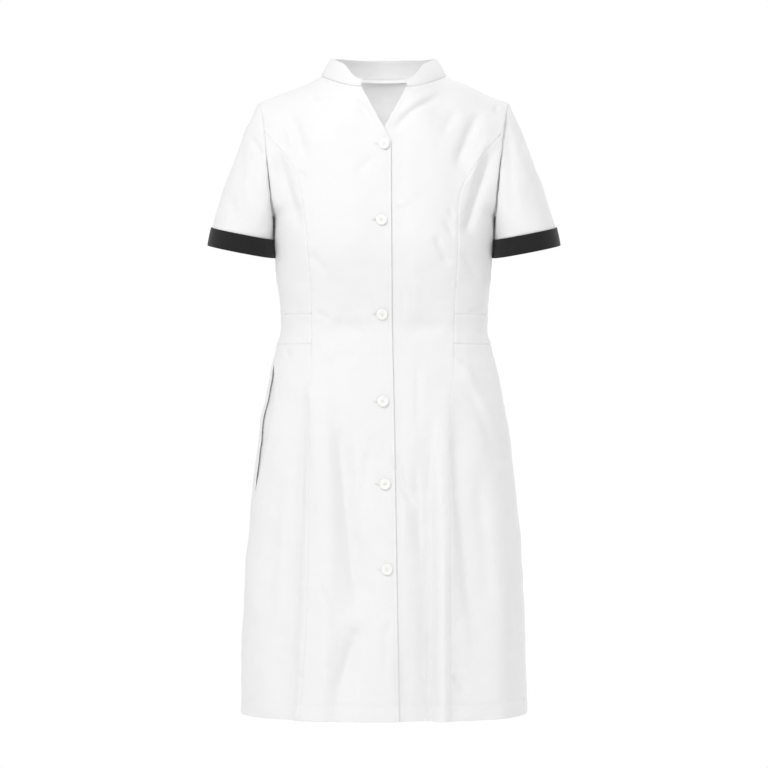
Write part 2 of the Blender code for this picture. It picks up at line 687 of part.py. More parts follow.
def stand_collar(dress):
    """The collar round the neck seam, sloping down to its two ends at the top of the V."""
    base = neck_seam()
    run = np.concatenate([[0], np.cumsum(np.linalg.norm(np.diff(base, axis=0), axis=1))])
    from_end = np.minimum(run, run[-1] - run)
    height = COLLAR_END_HEIGHT + (COLLAR_HEIGHT - COLLAR_END_HEIGHT) * smooth(from_end / COLLAR_SLOPE_RUN)
    scale_x, scale_y = COLLAR_TOP_SCALE
    lean = height / COLLAR_HEIGHT
    top = base * np.stack([1 - (1 - scale_x) * lean, 1 - (1 - scale_y) * lean, 1 + 0 * lean], axis=-1)
    top[:, 2] += height
    base = base + (top - base) / np.linalg.norm(top - base, axis=1, keepdims=True) * COLLAR_LIFT
    rows = []
    for share in np.linspace(0, 1, COLLAR_ROWS + 1):
        bulge = COLLAR_BULGE * 4 * share * (1 - share)
        away = base * np.array([1, 1, 0])
        away = away / np.linalg.norm(away, axis=1, keepdims=True)
        rows.append(base * (1 - share) + top * share + away * bulge * lean[:, None])
    sheet(dress, "stand_collar", np.array(rows), WHITE_CLOTH, flip=True)


def hanger_loop(dress):
    """The tape that hangs across the inside of the back neck."""
    x = np.linspace(-TAPE_HALF, TAPE_HALF, TAPE_COLUMNS + 1)
    z = np.array(TAPE_Z)[:, None] + 0 * x
    x = x + 0 * z
    inside = -(WALL / 2 + TAPE_WALL / 2 + TAPE_SEAT) - TAPE_SLACK * (1 - (x / TAPE_HALF) ** 2)
    level = np.full(x.shape, TAPE_Z[1])
    points = cloth(angle_at(x, level, "back"), level, inside)
    points[..., 2] = z
    sheet(dress, "hanger_loop", points, WHITE_CLOTH, wall=TAPE_WALL, flip=True)


def pocket_bags(dress):
    """The pockets behind the side skirts, each bag one wall folded at its inner end and open at the top."""
    z = heights([row for row in SKIRT_ROWS if POCKET_LOW_Z <= row * CM <= POCKET_TOP_Z])
    for side, word, gape in ((-1, "right", POCKET_GAPE), (1, "left", 0.0)):
        seam = side_angle(z)
        mouth = seam - gape_angle(z, gape)
        width = POCKET_TOP_SHARE + (1 - POCKET_TOP_SHARE) * smooth((POCKET_TOP_Z - z) / POCKET_WIDENING)
        span = math.radians(POCKET_SPAN) * width
        fold = seam - span
        lap = math.radians(POCKET_LAP)
        shares = np.linspace(0, 1, POCKET_COLUMNS + 1)
        front = [(mouth * (1 - s) + fold * s, POCKET_FRONT_DEPTH) for s in shares]
        back = [(fold * (1 - s) + (seam + lap) * s, POCKET_BACK_DEPTH) for s in shares[:-1]]
        back.append((seam + lap, POCKET_FRONT_DEPTH))
        columns = [cloth(side * angle, z, np.full(z.shape, -depth)) for angle, depth in front + back]
        points = np.stack(columns, axis=1)
        sheet(dress, f"pocket_bag_{word}", points, WHITE_CLOTH, wall=POCKET_WALL, flip=side > 0)


def button_profile():
    """Half section of a domed button, from the middle of the dome down its side to the middle of its back."""
    turns = np.linspace(0, math.pi / 2, DOME_POINTS)
    heights_up = BUTTON_HEIGHT * (BUTTON_EDGE + (1 - BUTTON_EDGE) * np.cos(turns))
    dome = list(zip(BUTTON_RADIUS * np.sin(turns), heights_up))
    return dome + [(BUTTON_RADIUS * BUTTON_FOOT, 0), (0, 0)]


def buttons(dress):
    """The six domed buttons, turned profiles that stand on the lap."""
    for number, place in enumerate(BUTTONS, 1):
        mesh = bpy.data.meshes.new(f"button_{number}")
        profile = [(r, 0, h) for r, h in button_profile()]
        mesh.from_pydata(profile, [(i, i + 1) for i in range(len(profile) - 1)], [])
        button = add_piece(dress, f"button_{number}", mesh, WHITE_PLASTIC)
        turned = button.modifiers.new("Turned", "SCREW")
        turned.axis = "Z"
        turned.steps = turned.render_steps = BUTTON_STEPS
        turned.use_merge_vertices = True
        turned.merge_threshold = 0.0001
        x = np.array([place.x * CM])
        z = np.array([place.z * CM])
        angle = angle_at(x, z, "front")
        seat = cloth(angle, z, np.full(1, WALL / 2 + BUTTON_SEAT))[0]
        facing = Vector(body_normal(angle, z)[0])
        turn = facing.to_track_quat("Z", "Y").to_matrix().to_4x4()
        button.matrix_world = Matrix.Translation(Vector(seat)) @ turn


def main():
    """Makes every piece of the dress."""
    dress = start_scene()
    centre_fronts(dress)
    side_fronts(dress)
    backs(dress)
    sleeves(dress)
    stand_collar(dress)
    hanger_loop(dress)
    pocket_bags(dress)
    buttons(dress)


main()
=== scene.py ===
"""Uniform dress: its cloth, cuffs, sewing and buttons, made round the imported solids.

Metres, +Z up, the wearer facing -Y. Laid out as an add-on and run as a script.
"""

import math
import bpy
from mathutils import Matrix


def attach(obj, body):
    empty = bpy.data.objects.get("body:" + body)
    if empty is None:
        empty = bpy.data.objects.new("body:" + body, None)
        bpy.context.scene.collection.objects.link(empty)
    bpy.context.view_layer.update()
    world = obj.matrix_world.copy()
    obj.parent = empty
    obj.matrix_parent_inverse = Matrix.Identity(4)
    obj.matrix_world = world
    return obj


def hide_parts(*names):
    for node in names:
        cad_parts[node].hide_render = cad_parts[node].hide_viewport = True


bl_info = {
    "name": "Uniform dress",
    "version": (1, 0, 0),
    "blender": (4, 5, 0),
    "location": "3D View > Sidebar > Uniform dress",
    "description": "Makes the cloth, cuffs, sewing and buttons of a uniform dress",
    "category": "Add Mesh",
}

from collections import namedtuple

import bmesh
import bpy
import numpy as np
from mathutils import Matrix, Vector

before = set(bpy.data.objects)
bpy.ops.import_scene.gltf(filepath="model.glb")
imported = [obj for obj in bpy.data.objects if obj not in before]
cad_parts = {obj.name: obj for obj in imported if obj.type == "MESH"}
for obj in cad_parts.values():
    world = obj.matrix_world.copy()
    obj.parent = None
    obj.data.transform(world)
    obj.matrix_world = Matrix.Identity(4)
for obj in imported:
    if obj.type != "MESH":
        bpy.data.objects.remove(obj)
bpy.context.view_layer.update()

CM = 0.01
MM = 0.001

# The wearer's sides, and how far each pocket gapes, in degrees
SIDES = ((-1, "right"), (1, "left"))
POCKET_SIDES = ((-1, "right", 13.0), (1, "left", 0.0))

# The worn form, as the solids have it, with its tables in centimetres and degrees
ROUNDNESS = 2 / 2.25
FLARE_POWER = 5
HALVINGS = 40
NECK_HALF = 9.6 * CM
NECK_Z = 0.4 * CM
SHOULDER_HALF = 19.3 * CM
SHOULDER_Z = -3.7 * CM
SHOULDER_SLOPE = (NECK_Z - SHOULDER_Z) / (SHOULDER_HALF - NECK_HALF)
SHOULDER_ROUND = 11 * CM
SHOULDER_POWER = 0.56
FRONT_NECK_RISE = 3.6 * CM
BACK_NECK_RISE = 2.2 * CM
BACK_NECK_Z = 0.75 * CM
V_TOP_HALF = 3.5 * CM
V_TOP_Z = -1.7 * CM
NECK_SEAM_POWER = 1.8
NECK_TURN = 0.4
LAP_TOP_Z = -10 * CM
TIP_Z = -8.2 * CM
TIP_GAP = 0.15 * CM
UNDERARM_Z = -21.5 * CM
WAIST_TOP_Z = -36.4 * CM
WAIST_LOW_Z = -41 * CM
HEM_Z = -97.8 * CM
UNDER_EDGE = 1.3 * CM
UNDER_SINK = 2.0 * MM
UNDER_BLEND = (2.4 * CM, 5.0 * CM)
UNDER_SPREAD = 0.2
BUST = {"x": 9 * CM, "z": -25.5 * CM, "radius": 7 * CM, "rise": 0.9 * CM}

Section = namedtuple("Section", "z half_width flare front back")
SECTIONS = [
    Section(0.8, 19.8, 2.5, 8.6, 8.4),
    Section(-4, 19.4, 3.2, 8.8, 9.0),
    Section(-8, 18.8, 4.0, 9.1, 9.4),
    Section(-12, 18.2, 4.4, 9.6, 9.7),
    Section(-16, 17.6, 3.4, 10.3, 9.8),
    Section(-19, 17.2, 1.6, 10.9, 9.8),
    Section(-21.5, 16.9, 0, 11.4, 9.8),
    Section(-26, 16.55, 0, 11.9, 9.6),
    Section(-31, 16.3, 0, 11.3, 9.2),
    Section(-36.4, 16.0, 0, 10.2, 8.7),
    Section(-38.6, 15.95, 0, 9.9, 8.7),
    Section(-41, 16.5, 0, 10.2, 9.1),
    Section(-45, 17.5, 0, 11.3, 10.3),
    Section(-50, 18.45, 0, 12.6, 11.6),
    Section(-56, 19.5, 0, 13.6, 12.6),
    Section(-64, 20.4, 0, 14.4, 13.4),
    Section(-75, 21.3, 0, 15.3, 14.2),
    Section(-86, 21.85, 0, 16.1, 15.0),
    Section(-97.8, 22.2, 0, 16.8, 15.6),
]

SeamPoint = namedtuple("SeamPoint", "z right left")
PRINCESS = [
    SeamPoint(-8.2, 18.4, 18.4),
    SeamPoint(-10, 16.9, 16.9),
    SeamPoint(-11.5, 15.7, 15.6),
    SeamPoint(-15, 13.4, 13.0),
    SeamPoint(-18, 12.6, 11.6),
    SeamPoint(-21, 12.0, 11.1),
    SeamPoint(-25.4, 11.2, 10.8),
    SeamPoint(-33, 10.95, 10.75),
    SeamPoint(-45, 11.15, 10.6),
    SeamPoint(-50, 11.2, 10.1),
    SeamPoint(-70, 11.2, 9.95),
    SeamPoint(-84, 11.6, 10.0),
    SeamPoint(-97.8, 12.6, 10.0),
]
EdgePoint = namedtuple("EdgePoint", "z x")
LAP_EDGE = [
    EdgePoint(-10, 1.06),
    EdgePoint(-36, 1.2),
    EdgePoint(-50, 1.5),
    EdgePoint(-75, 1.9),
    EdgePoint(-97.8, 2.3),
]
ARMHOLE = [
    EdgePoint(-3.7, 19.3),
    EdgePoint(-5.3, 18.85),
    EdgePoint(-7.6, 18.45),
    EdgePoint(-12, 17.9),
    EdgePoint(-16, 17.4),
    EdgePoint(-19, 17.1),
    EdgePoint(-21.5, 16.9),
]
SideSeam = namedtuple("SideSeam", "z angle")
SIDE_SEAM = [
    SideSeam(-21.5, 90),
    SideSeam(-36.4, 87),
    SideSeam(-41, 82),
    SideSeam(-46, 77),
    SideSeam(-97.8, 75),
]

# Folds and creases by face, in centimetres: a line through three points, how far the fold reaches
# towards -X and towards +X, its height or depth in millimetres, and the shares of its length over
# which it comes in at its start and dies away at its end. A sleeve's are on its front
Crease = namedtuple("Crease", "x0 z0 x1 z1 x2 z2 minus plus lift start end")
CREASES = {
    "front": [
        # Skirt front: the large folds
        (-9.9, -43, -8.2, -68, -9.4, -98.5, 3.6, 1.5, 8.5, 0.3, 0),
        (-12.1, -46, -13.2, -72, -14.4, -98.5, 3.2, 0.8, -11.0, 0.3, 0),
        (-7.2, -49, -6.0, -66, -3.8, -86, 1.6, 1.6, -7.0, 0.35, 0.35),
        (-4.2, -82, -5.6, -90, -7.4, -98.5, 1.8, 1.8, -6.0, 0.35, 0),
        (7.1, -50, 7.3, -74, 7.3, -98.5, 2.6, 0.5, -14.0, 0.35, 0),
        (8.9, -47, 8.7, -72, 8.7, -98.5, 0.8, 1.6, 5.5, 0.35, 0),
        (7.2, -72, 7.3, -88, 7.3, -98.5, 4.4, 0.5, -9.0, 0.6, 0),
        (10.7, -46, 11.6, -67, 14.2, -92, 0.9, 1.9, -7.5, 0.35, 0.3),
        (17.0, -60, 17.4, -80, 17.6, -98.5, 2.0, 2.0, 6.0, 0.35, 0),
        # Skirt front: what sharpens them
        (-11.4, -45.8, -10.2, -56, -9.9, -72, 0.8, 0.8, 3.6, 0.2, 0.5),
        (-7.1, -52.2, -5.6, -67, -3.6, -84, 0.9, 1.8, -5.9, 0.25, 0.2),
        (-3.6, -83.4, -5.4, -88, -7.6, -95, 0.9, 1.1, -5.9, 0.2, 0.3),
        (-9.3, -76.4, -8.3, -80.3, -6.3, -83.1, 0.5, 0.5, -3.6, 0.3, 0.3),
        (-13.1, -90, -12.6, -91, -12.1, -92.2, 0.5, 0.5, -3, 0.4, 0.4),
        (8.8, -60, 8.7, -80, 8.8, -98.5, 0.7, 1, 3.7, 0.4, 0),
        (3.1, -84, 3.3, -92, 3.5, -98.5, 1.4, 2.4, -6.1, 0.5, 0),
        (5, -42.3, 5, -49, 4.9, -55.2, 0.5, 0.8, -2, 0.3, 0.3),
        (1.8, -57, 2.7, -61.8, 5.1, -66.1, 0.6, 0.6, -5, 0.3, 0.3),
        (3, -64, 3.1, -68.5, 3, -74, 0.8, 0.8, 3, 0.3, 0.3),
        (11.3, -42.9, 14, -48.3, 17.2, -54.5, 0.8, 0.8, 3.6, 0.3, 0.3),
        (12.4, -46, 15, -52, 17.4, -60, 0.9, 1.2, -3.2, 0.3, 0.4),
        (-15.9, -58, -17.2, -72, -18, -86, 1.6, 0.9, -4.5, 0.3, 0.3),
        (14.6, -58, 15.2, -70, 16.4, -84, 1.4, 0.7, -4, 0.3, 0.3),
        (-2.4, -56, -3, -62, -4.2, -70, 0.7, 0.9, -2.6, 0.3, 0.4),
        (4.6, -58, 5.2, -66, 5.4, -78, 1.2, 0.6, -4, 0.3, 0.4),
        (10.2, -90.6, 11.3, -92.2, 12.6, -94.2, 0.45, 0.5, -4.6, 0.3, 0.3),
        (10.7, -81, 11.3, -82, 12.1, -83, 0.4, 0.4, -3, 0.3, 0.3),
        (0.9, -82, 0.2, -86, 0.4, -92, 0.6, 0.6, -2.3, 0.3, 0.3),
        (-1.8, -70, -2.4, -78, -1.4, -90, 1.4, 1.2, -3.6, 0.3, 0.4),
        # Waist
        (-15.4, -41.3, -14.9, -42.2, -14.4, -43.8, 0.4, 0.4, -3, 0.3, 0.4),
        (-10.5, -35.9, -9.2, -36.7, -7.9, -37.4, 0.45, 0.45, -2.6, 0.3, 0.3),
        (-8.4, -37.5, -5.5, -38.8, -2.6, -37.8, 1.5, 1.5, -3.9, 0.3, 0.3),
        (-9.6, -43.4, -7, -42, -4.4, -42.6, 0.8, 0.8, 2.3, 0.3, 0.3),
        (10.4, -41.6, 11.6, -43.2, 12.8, -44, 0.5, 0.5, -2.7, 0.3, 0.3),
        (3.2, -37.6, 6.2, -38.6, 9.4, -37.6, 1.2, 1.2, -2.7, 0.3, 0.3),
        (15.4, -35, 14, -36, 12.6, -35.6, 0.5, 0.5, -2.3, 0.3, 0.3),
        # Bodice, the wearer's right
        (-17, -9, -14.9, -17, -12, -24.5, 1.2, 1.2, -5.4, 0.35, 0.35),
        (-15.4, -4.5, -13.2, -9, -12.1, -14, 1.1, 1.1, -4.1, 0.35, 0.35),
        (-16.9, -10.2, -14.6, -18, -12.2, -23.8, 0.5, 0.8, -3.6, 0.2, 0.3),
        (-17.8, -9.4, -16.8, -16, -16.2, -22, 0.7, 0.7, 3.2, 0.2, 0.3),
        (-15.3, -4.9, -13.2, -9, -12.2, -12.8, 0.6, 0.9, -3.2, 0.3, 0.3),
        (-15.8, -7, -15.2, -9.6, -14.9, -11.5, 0.4, 0.4, -2.7, 0.3, 0.3),
        (-12.9, -14.6, -12.5, -15.2, -12.1, -16, 0.5, 0.5, -2.7, 0.4, 0.4),
        (-11.4, -2.6, -10.5, -3.2, -9.7, -3.8, 0.35, 0.35, -2.6, 0.3, 0.3),
        (-4.6, -3.4, -3.1, -5.2, -1.8, -7, 0.5, 0.5, -3.4, 0.3, 0.3),
        (-0.9, -12.4, -2.9, -13.9, -4.6, -15.9, 0.8, 0.8, -3, 0.3, 0.4),
        (-11.6, -26.5, -9.8, -28.6, -8.6, -31, 0.7, 0.7, -2.3, 0.3, 0.4),
        # Bodice, the wearer's left
        (17, -10, 14.3, -18, 11.8, -25.5, 1.2, 1.2, -5.4, 0.35, 0.35),
        (15.2, -4.5, 12.8, -10, 11, -15.5, 1.1, 1.1, -4.1, 0.35, 0.35),
        (16.9, -10.7, 14.3, -19, 12, -24.8, 0.8, 0.5, -6.5, 0.2, 0.25),
        (15.2, -4.9, 12.9, -9.6, 11.1, -14.8, 0.9, 0.6, -5, 0.3, 0.3),
        (16.4, -8.6, 14.1, -13.3, 12.6, -18, 0.6, 0.6, 3.6, 0.3, 0.3),
        (11.4, -4.9, 10, -7.2, 8.8, -9.4, 0.8, 0.6, -3, 0.3, 0.3),
        (1.2, -9, 4.8, -5.2, 9.6, -2.9, 0.6, 0.6, -5.3, 0.25, 0.35),
        (1.5, -7.6, 4.4, -4.4, 8.6, -2.3, 0.6, 0.6, 2.3, 0.3, 0.3),
        (8.8, -22.2, 9.5, -23.4, 10.3, -24.8, 0.4, 0.4, -3.2, 0.3, 0.3),
        (7.4, -24.3, 8.4, -26.8, 10, -29.4, 0.5, 0.5, -4.6, 0.3, 0.3),
        (9.6, -20.4, 10, -21.2, 10.5, -22.2, 0.35, 0.35, -2.6, 0.4, 0.4),
        (1.4, -20.4, 3.2, -19.4, 5.2, -18, 0.6, 0.6, 2.3, 0.3, 0.3),
        (17.6, -3.9, 17.3, -4.6, 16.9, -5.6, 0.35, 0.35, -2.6, 0.3, 0.3),
        (11, -27, 12.8, -29, 14.4, -32, 0.7, 0.7, -2.6, 0.3, 0.4),
    ],
    "back": [
        (-14.0, -46, -14.5, -72, -15.0, -98.5, 2.2, 2.2, 8.0, 0.35, 0),
        (-10.2, -48, -10.0, -72, -9.8, -98.5, 1.9, 1.9, -7.0, 0.35, 0),
        (-5.0, -45, -5.4, -72, -5.8, -98.5, 2.4, 2.4, 8.0, 0.35, 0),
        (0.2, -50, -0.6, -72, -0.9, -98.5, 2.0, 2.0, -7.0, 0.35, 0),
        (5.6, -44, 5.2, -72, 5.0, -98.5, 2.6, 2.6, 9.0, 0.35, 0),
        (10.4, -49, 10.8, -72, 11.0, -98.5, 2.0, 2.0, -8.0, 0.35, 0),
        (14.6, -47, 15.2, -72, 15.6, -98.5, 2.1, 2.1, 7.0, 0.35, 0),
        (-16.0, -12, -13.0, -19, -10.0, -25, 1.6, 1.6, -4.0, 0.35, 0.35),
        (16.0, -11, 13.4, -18, 10.4, -24, 1.6, 1.6, -4.0, 0.35, 0.35),
        (-15.8, -13, -12.8, -19.6, -10.4, -24, 0.6, 0.8, -2.7, 0.3, 0.3),
        (15.8, -12, 13.2, -18.8, 10.8, -23, 0.8, 0.6, -2.7, 0.3, 0.3),
        (-9, -32.6, -1, -34.4, 8, -32.4, 1.2, 1.2, -3.7, 0.3, 0.3),
        (-5, -29, 1, -30.4, 6.6, -28.6, 0.9, 0.9, -2.4, 0.3, 0.3),
        (-12, -34.6, -9.4, -33.2, -6.6, -30.2, 0.6, 0.6, -2, 0.3, 0.4),
        (11.6, -34.2, 9.2, -32.4, 7.2, -29, 0.6, 0.6, -2.2, 0.3, 0.4),
        (-7.4, -2.2, -3, -4.6, 3.4, -4, 0.8, 0.8, -2.2, 0.3, 0.3),
        (-9.4, -60, -8.6, -74, -9, -98.5, 0.6, 1.2, -3.4, 0.4, 0),
        (9.6, -58, 10.2, -76, 10, -98.5, 1.2, 0.6, -3.7, 0.4, 0),
        (3.2, -74, 2.2, -84, 2.8, -98.5, 0.8, 0.8, -3.1, 0.4, 0),
        (-3.4, -43.6, -4.6, -50, -4.8, -60, 0.7, 0.7, 2, 0.3, 0.5),
    ],
    "sleeve_right": [
        (-20.9, -8.8, -19.6, -10.6, -18.6, -12.6, 0.45, 0.45, -3.6, 0.3, 0.3),
        (-21.4, -14.8, -20.9, -18.6, -20.2, -22.6, 0.7, 0.7, 2.3, 0.4, 0.4),
        (-24.4, -17.4, -23.2, -20, -22.6, -22.8, 0.8, 0.8, -2.3, 0.4, 0.4),
        (-22.6, -8.6, -22.2, -13, -21.4, -18, 0.8, 0.8, -2.2, 0.3, 0.4),
    ],
    "sleeve_left": [
        (19.1, -5, 19.4, -13, 19.9, -22, 1.5, 0.7, -4.5, 0.15, 0.3),
        (20, -6.6, 21.2, -8.8, 22, -11.6, 0.5, 0.5, -2.7, 0.3, 0.3),
        (20.6, -11.4, 21.4, -14.4, 21.8, -17.6, 0.8, 0.8, 2, 0.4, 0.4),
        (19, -17, 19.8, -20.2, 19.6, -23.4, 0.9, 0.9, -2.3, 0.4, 0.4),
    ],
}
CREASE_SAMPLES = 15
CREASE_REACH = 3
SIDE_FADE = 2.5 * CM

# Cloth panels
FRONT_STEP = 3.1 * MM
BACK_STEP = 4.4 * MM
YOKE_FINER = 0.75
BACK_SKIRT_FINER = 0.8
FRONT_SPAN = 16 * CM
SIDE_SPAN = 8 * CM
BACK_HALF = 23 * CM
LEAST_STEP = 0.4 * MM
FINE = (0.7 * MM, 1.6 * MM, 2.8 * MM)
SEAM_INSET = 0.03 * MM
SKIRT_SEAM_SHARE = 0.35
SHOULDER_INSET = 0.45 * MM
NECK_SHARE = 0.5

# Collar, sleeves and cuffs
COLLAR_HEIGHT = 2.8 * CM
COLLAR_END_HEIGHT = 1.1 * CM
COLLAR_SLOPE_RUN = 5.5 * CM
COLLAR_LIFT = 0.4 * MM
COLLAR_BULGE = 0.2 * CM
COLLAR_TOP_SCALE = (0.83, 0.9)
SLEEVE_BULGE = 0.5 * CM
SLEEVE_START = 0.4 * MM
SLEEVE_START_UNDERARM = 0.9 * MM
SLEEVE_TUCK = {-1: (1.6 * MM, 9 * MM), 1: (2.6 * MM, 9 * MM)}
SLEEVE_LENGTH = 19 * CM
SLEEVE_HEAD_FADE = 2 * CM
SLEEVE_END_FADE = 0.8 * CM
SLEEVE_INSIDE = (0.25, 0.5, 0.9)
ARMHOLE_POINTS = 52
UNDERARM_EASE = (0.2, 0.9)
CUFF_TILT = math.radians(10.8)
CUFF_NOD = math.radians(4)
CUFF_TOP = {"centre": (21.9 * CM, -0.4 * CM, -23.8 * CM), "half_width": 4.7 * CM, "half_depth": 5.3 * CM}
CUFF_LOW = {"centre": (22.2 * CM, -0.4 * CM, -26.65 * CM), "half_width": 4.98 * CM, "half_depth": 5.6 * CM}
CUFF_SQUARE = 0.72
CUFF_REACH = 3.2 * MM
CUFF_POINTS = 108
CUFF_INNER = 1.0 * MM
CUFF_LIP = 1.4 * MM
CUFF_PITCH = 0.5 * MM
CUFF_CORNER = 0.42
CUFF_WAVES = ((0.25 * MM, 5, 1), (0.15 * MM, 11, 2))
COLLAR_WALL = 1.2 * MM
COLLAR_STEP = 2 * MM
COLLAR_FRONT_POINTS = 34
COLLAR_BACK_POINTS = 72

# Tape and pockets
TAPE_HALF = 3.6 * CM
TAPE_Z = (0.12 * CM, 0.62 * CM)
TAPE_DEPTH = (1.9 * MM, 1.2 * MM)
TAPE_SAG = 0.4 * MM
TAPE_WALL = 0.8 * MM
TAPE_POINTS = (61, 7)
TAPE_COLOUR = (0.95, 0.95, 0.95)
TAPE_PITCH = 0.9 * MM
POCKET_TOP_Z = -43.6 * CM
POCKET_LOW_Z = -64.5 * CM
POCKET_SPAN = 27.0
POCKET_DEPTHS = (2.4 * MM, 6.0 * MM)
POCKET_LAP = 3.0
POCKET_TOP_SHARE = 0.7
POCKET_WIDENING = 8 * CM
GAPE_POWERS = (0.8, 1.3)
POCKET_ROWS = 56
POCKET_COLUMNS = 19
POCKET_TURN_START = 0.8
POCKET_TURN_WIDTH = 0.2
POCKET_WALL = 0.7 * MM

Button = namedtuple("Button", "x z turn")
BUTTONS = [
    Button(0.0, -10.6, 12),
    Button(-0.38, -22.3, 40),
    Button(-0.3, -36.5, 65),
    Button(-0.15, -49.8, 20),
    Button(0.15, -62.2, 75),
    Button(0.45, -75.0, 33),
]
BUTTON_SHANK = 0.8 * MM
SHARP_CORNER = math.radians(35)

# Sewing: how far the stitches stand off the cloth, and how far in from their edges they run
STITCH_LIFT = 0.05 * MM
STITCH_FLATNESS = 0.8
NECK_STITCH_LIFT = 0.1 * MM
UNDER_STITCH_LOW_Z = TIP_Z - 2.4 * CM
COLLAR_TOP_INSET = 4 * MM
COLLAR_LOW_INSET = 1.6 * MM
WAIST_INSET = 1.7 * MM
POCKET_INSET = 6 * MM
SLEEVE_END_INSET = 2.2 * MM
BUTTONHOLE_STITCH = {"pitch": 0.5 * MM, "length": 0.45 * MM, "width": 1.7 * MM, "height": 0.6 * MM}
BUTTONHOLE_LIFT = 0.1 * MM
BUTTONHOLE_POINTS = 49
BUTTONHOLE_HALF_WIDTH = 0.9 * MM
BUTTONHOLE_SHIFT = 5 * MM
VIEW_Z = -47.12 * CM


def length_value(name, description, default, precision=4):
    """A length that a user may change."""
    return bpy.props.FloatProperty(
        name=name, description=description, default=default, unit="LENGTH", precision=precision
    )


def colour_value(name, description, default):
    """A colour that a user may change."""
    return bpy.props.FloatVectorProperty(
        name=name, description=description, default=default, subtype="COLOR", size=3
    )


def plain_value(name, description, default, subtype="NONE"):
    """A number without a unit that a user may change."""
    return bpy.props.FloatProperty(name=name, description=description, default=default, subtype=subtype)


class DressCloth(bpy.types.PropertyGroup):
    """The white cloth."""

    wall: length_value("Wall", "Thickness of the cloth", 0.0009)
    colour: colour_value("Colour", "Colour of the cloth", (0.83, 0.83, 0.83))
    pitch: length_value("Thread pitch", "Distance between threads", 0.00045, 5)
    creasing: plain_value("Creasing", "Share of the folds and creases", 1.0, "FACTOR")


class DressCuffs(bpy.types.PropertyGroup):
    """The bands at the ends of the sleeves."""

    colour: colour_value("Colour", "Colour of the bands", (0.013, 0.013, 0.014))
    wall: length_value("Wall", "Thickness of a band", 0.0016)


class DressSewing(bpy.types.PropertyGroup):
    """Stitches, hems and buttonholes."""

    pitch: length_value("Pitch", "Distance from stitch to stitch", 0.0029)
    length: length_value("Length", "Length of thread that shows", 0.0023)
    thread: length_value("Thread", "Width of the thread", 0.0004, 5)
    inset: length_value("Inset", "Distance of topstitching from an edge", 0.0055)
    hem: length_value("Hem", "Depth of the hem", 0.025)
    buttonhole: length_value("Buttonhole", "Length of a buttonhole", 0.019)


class DressButtons(bpy.types.PropertyGroup):
    """The buttons down the lap."""

    radius: length_value("Radius", "Radius of a button", 0.0085)
    height: length_value("Height", "Height of a button", 0.0034)
    colour: colour_value("Colour", "Colour of the buttons", (0.9, 0.9, 0.89))


class DressStage(bpy.types.PropertyGroup):
    """Floor, light and camera."""

    floor: length_value("Floor", "Height of the floor under the wearer", -1.45, 2)
    distance: length_value("Distance", "From the camera to the middle of the dress", 5.0, 2)
    width: length_value("Width", "Width of the picture at the dress", 1.19, 2)
    key: plain_value("Key light", "Power of the key light in watts", 76.0)
    fill: plain_value("Fill light", "Power of the fill light in watts", 13.0)
    back: plain_value("Back light", "Power of the light behind in watts", 48.0)
    neck: plain_value("Neck light", "Power of the light into the neck in watts", 13.0)
    inner: plain_value("Light in the dress", "Power in watts of what stands for light through the cloth", 0.068)
    sky: plain_value("Front surroundings", "Strength of the light from in front", 0.7)
    behind: plain_value("Back surroundings", "Strength of the light from behind", 0.86)


def curve_through(knots, values):
    """A smooth curve through a table's points that never overshoots between them."""
    order = np.argsort(knots)
    x = np.array(knots, float)[order]
    y = np.array(values, float)[order]
    step = np.diff(x)
    slope = np.diff(y) / step
    tangent = np.concatenate([slope[:1], np.zeros(len(x) - 2), slope[-1:]])
    for i in range(1, len(x) - 1):
        if slope[i - 1] * slope[i] > 0:
            tangent[i] = 2 * slope[i - 1] * slope[i] / (slope[i - 1] + slope[i])

    def at(where):
        where = np.clip(where, x[0], x[-1])
        i = np.clip(np.searchsorted(x, where) - 1, 0, len(step) - 1)
        s = (where - x[i]) / step[i]
        start = (1 + 2 * s) * (1 - s) ** 2 * y[i] + s * (1 - s) ** 2 * step[i] * tangent[i]
        end = s**2 * (3 - 2 * s) * y[i + 1] + s**2 * (s - 1) * step[i] * tangent[i + 1]
        return start + end

    return at


def from_table(rows, column, unit=CM):
    """A column of a table as a function of the height, in metres or in the unit given."""
    return curve_through([row.z * CM for row in rows], [getattr(row, column) * unit for row in rows])


half_width = from_table(SECTIONS, "half_width")
flare = from_table(SECTIONS, "flare")
front_depth = from_table(SECTIONS, "front")
back_depth = from_table(SECTIONS, "back")
lap_edge = from_table(LAP_EDGE, "x")
armhole_x = from_table(ARMHOLE, "x")
side_angle = from_table(SIDE_SEAM, "angle", math.radians(1))
princess_x = {-1: from_table(PRINCESS, "right"), 1: from_table(PRINCESS, "left")}


def smooth(s):
    """Eases from 0 to 1."""
    s = np.clip(s, 0, 1)
    return s * s * (3 - 2 * s)


def shoulder_line(x, rise):
    """Height of the shoulder seam at x, carried on over the neck opening, which the cloth rounds up to."""
    x = np.abs(x)
    line = NECK_Z - SHOULDER_SLOPE * (x - NECK_HALF)
    inward = np.clip((NECK_HALF - x) / NECK_HALF, 0, None)
    cubic = -(SHOULDER_SLOPE * NECK_HALF + 2 * rise)
    return line + (rise - cubic) * inward**2 + cubic * inward**3


def reach(sine, z):
    """Distance from the middle, at a height, of the place on the worn form with this sine of its angle."""
    return half_width(z) * sine**ROUNDNESS + flare(z) * sine**FLARE_POWER


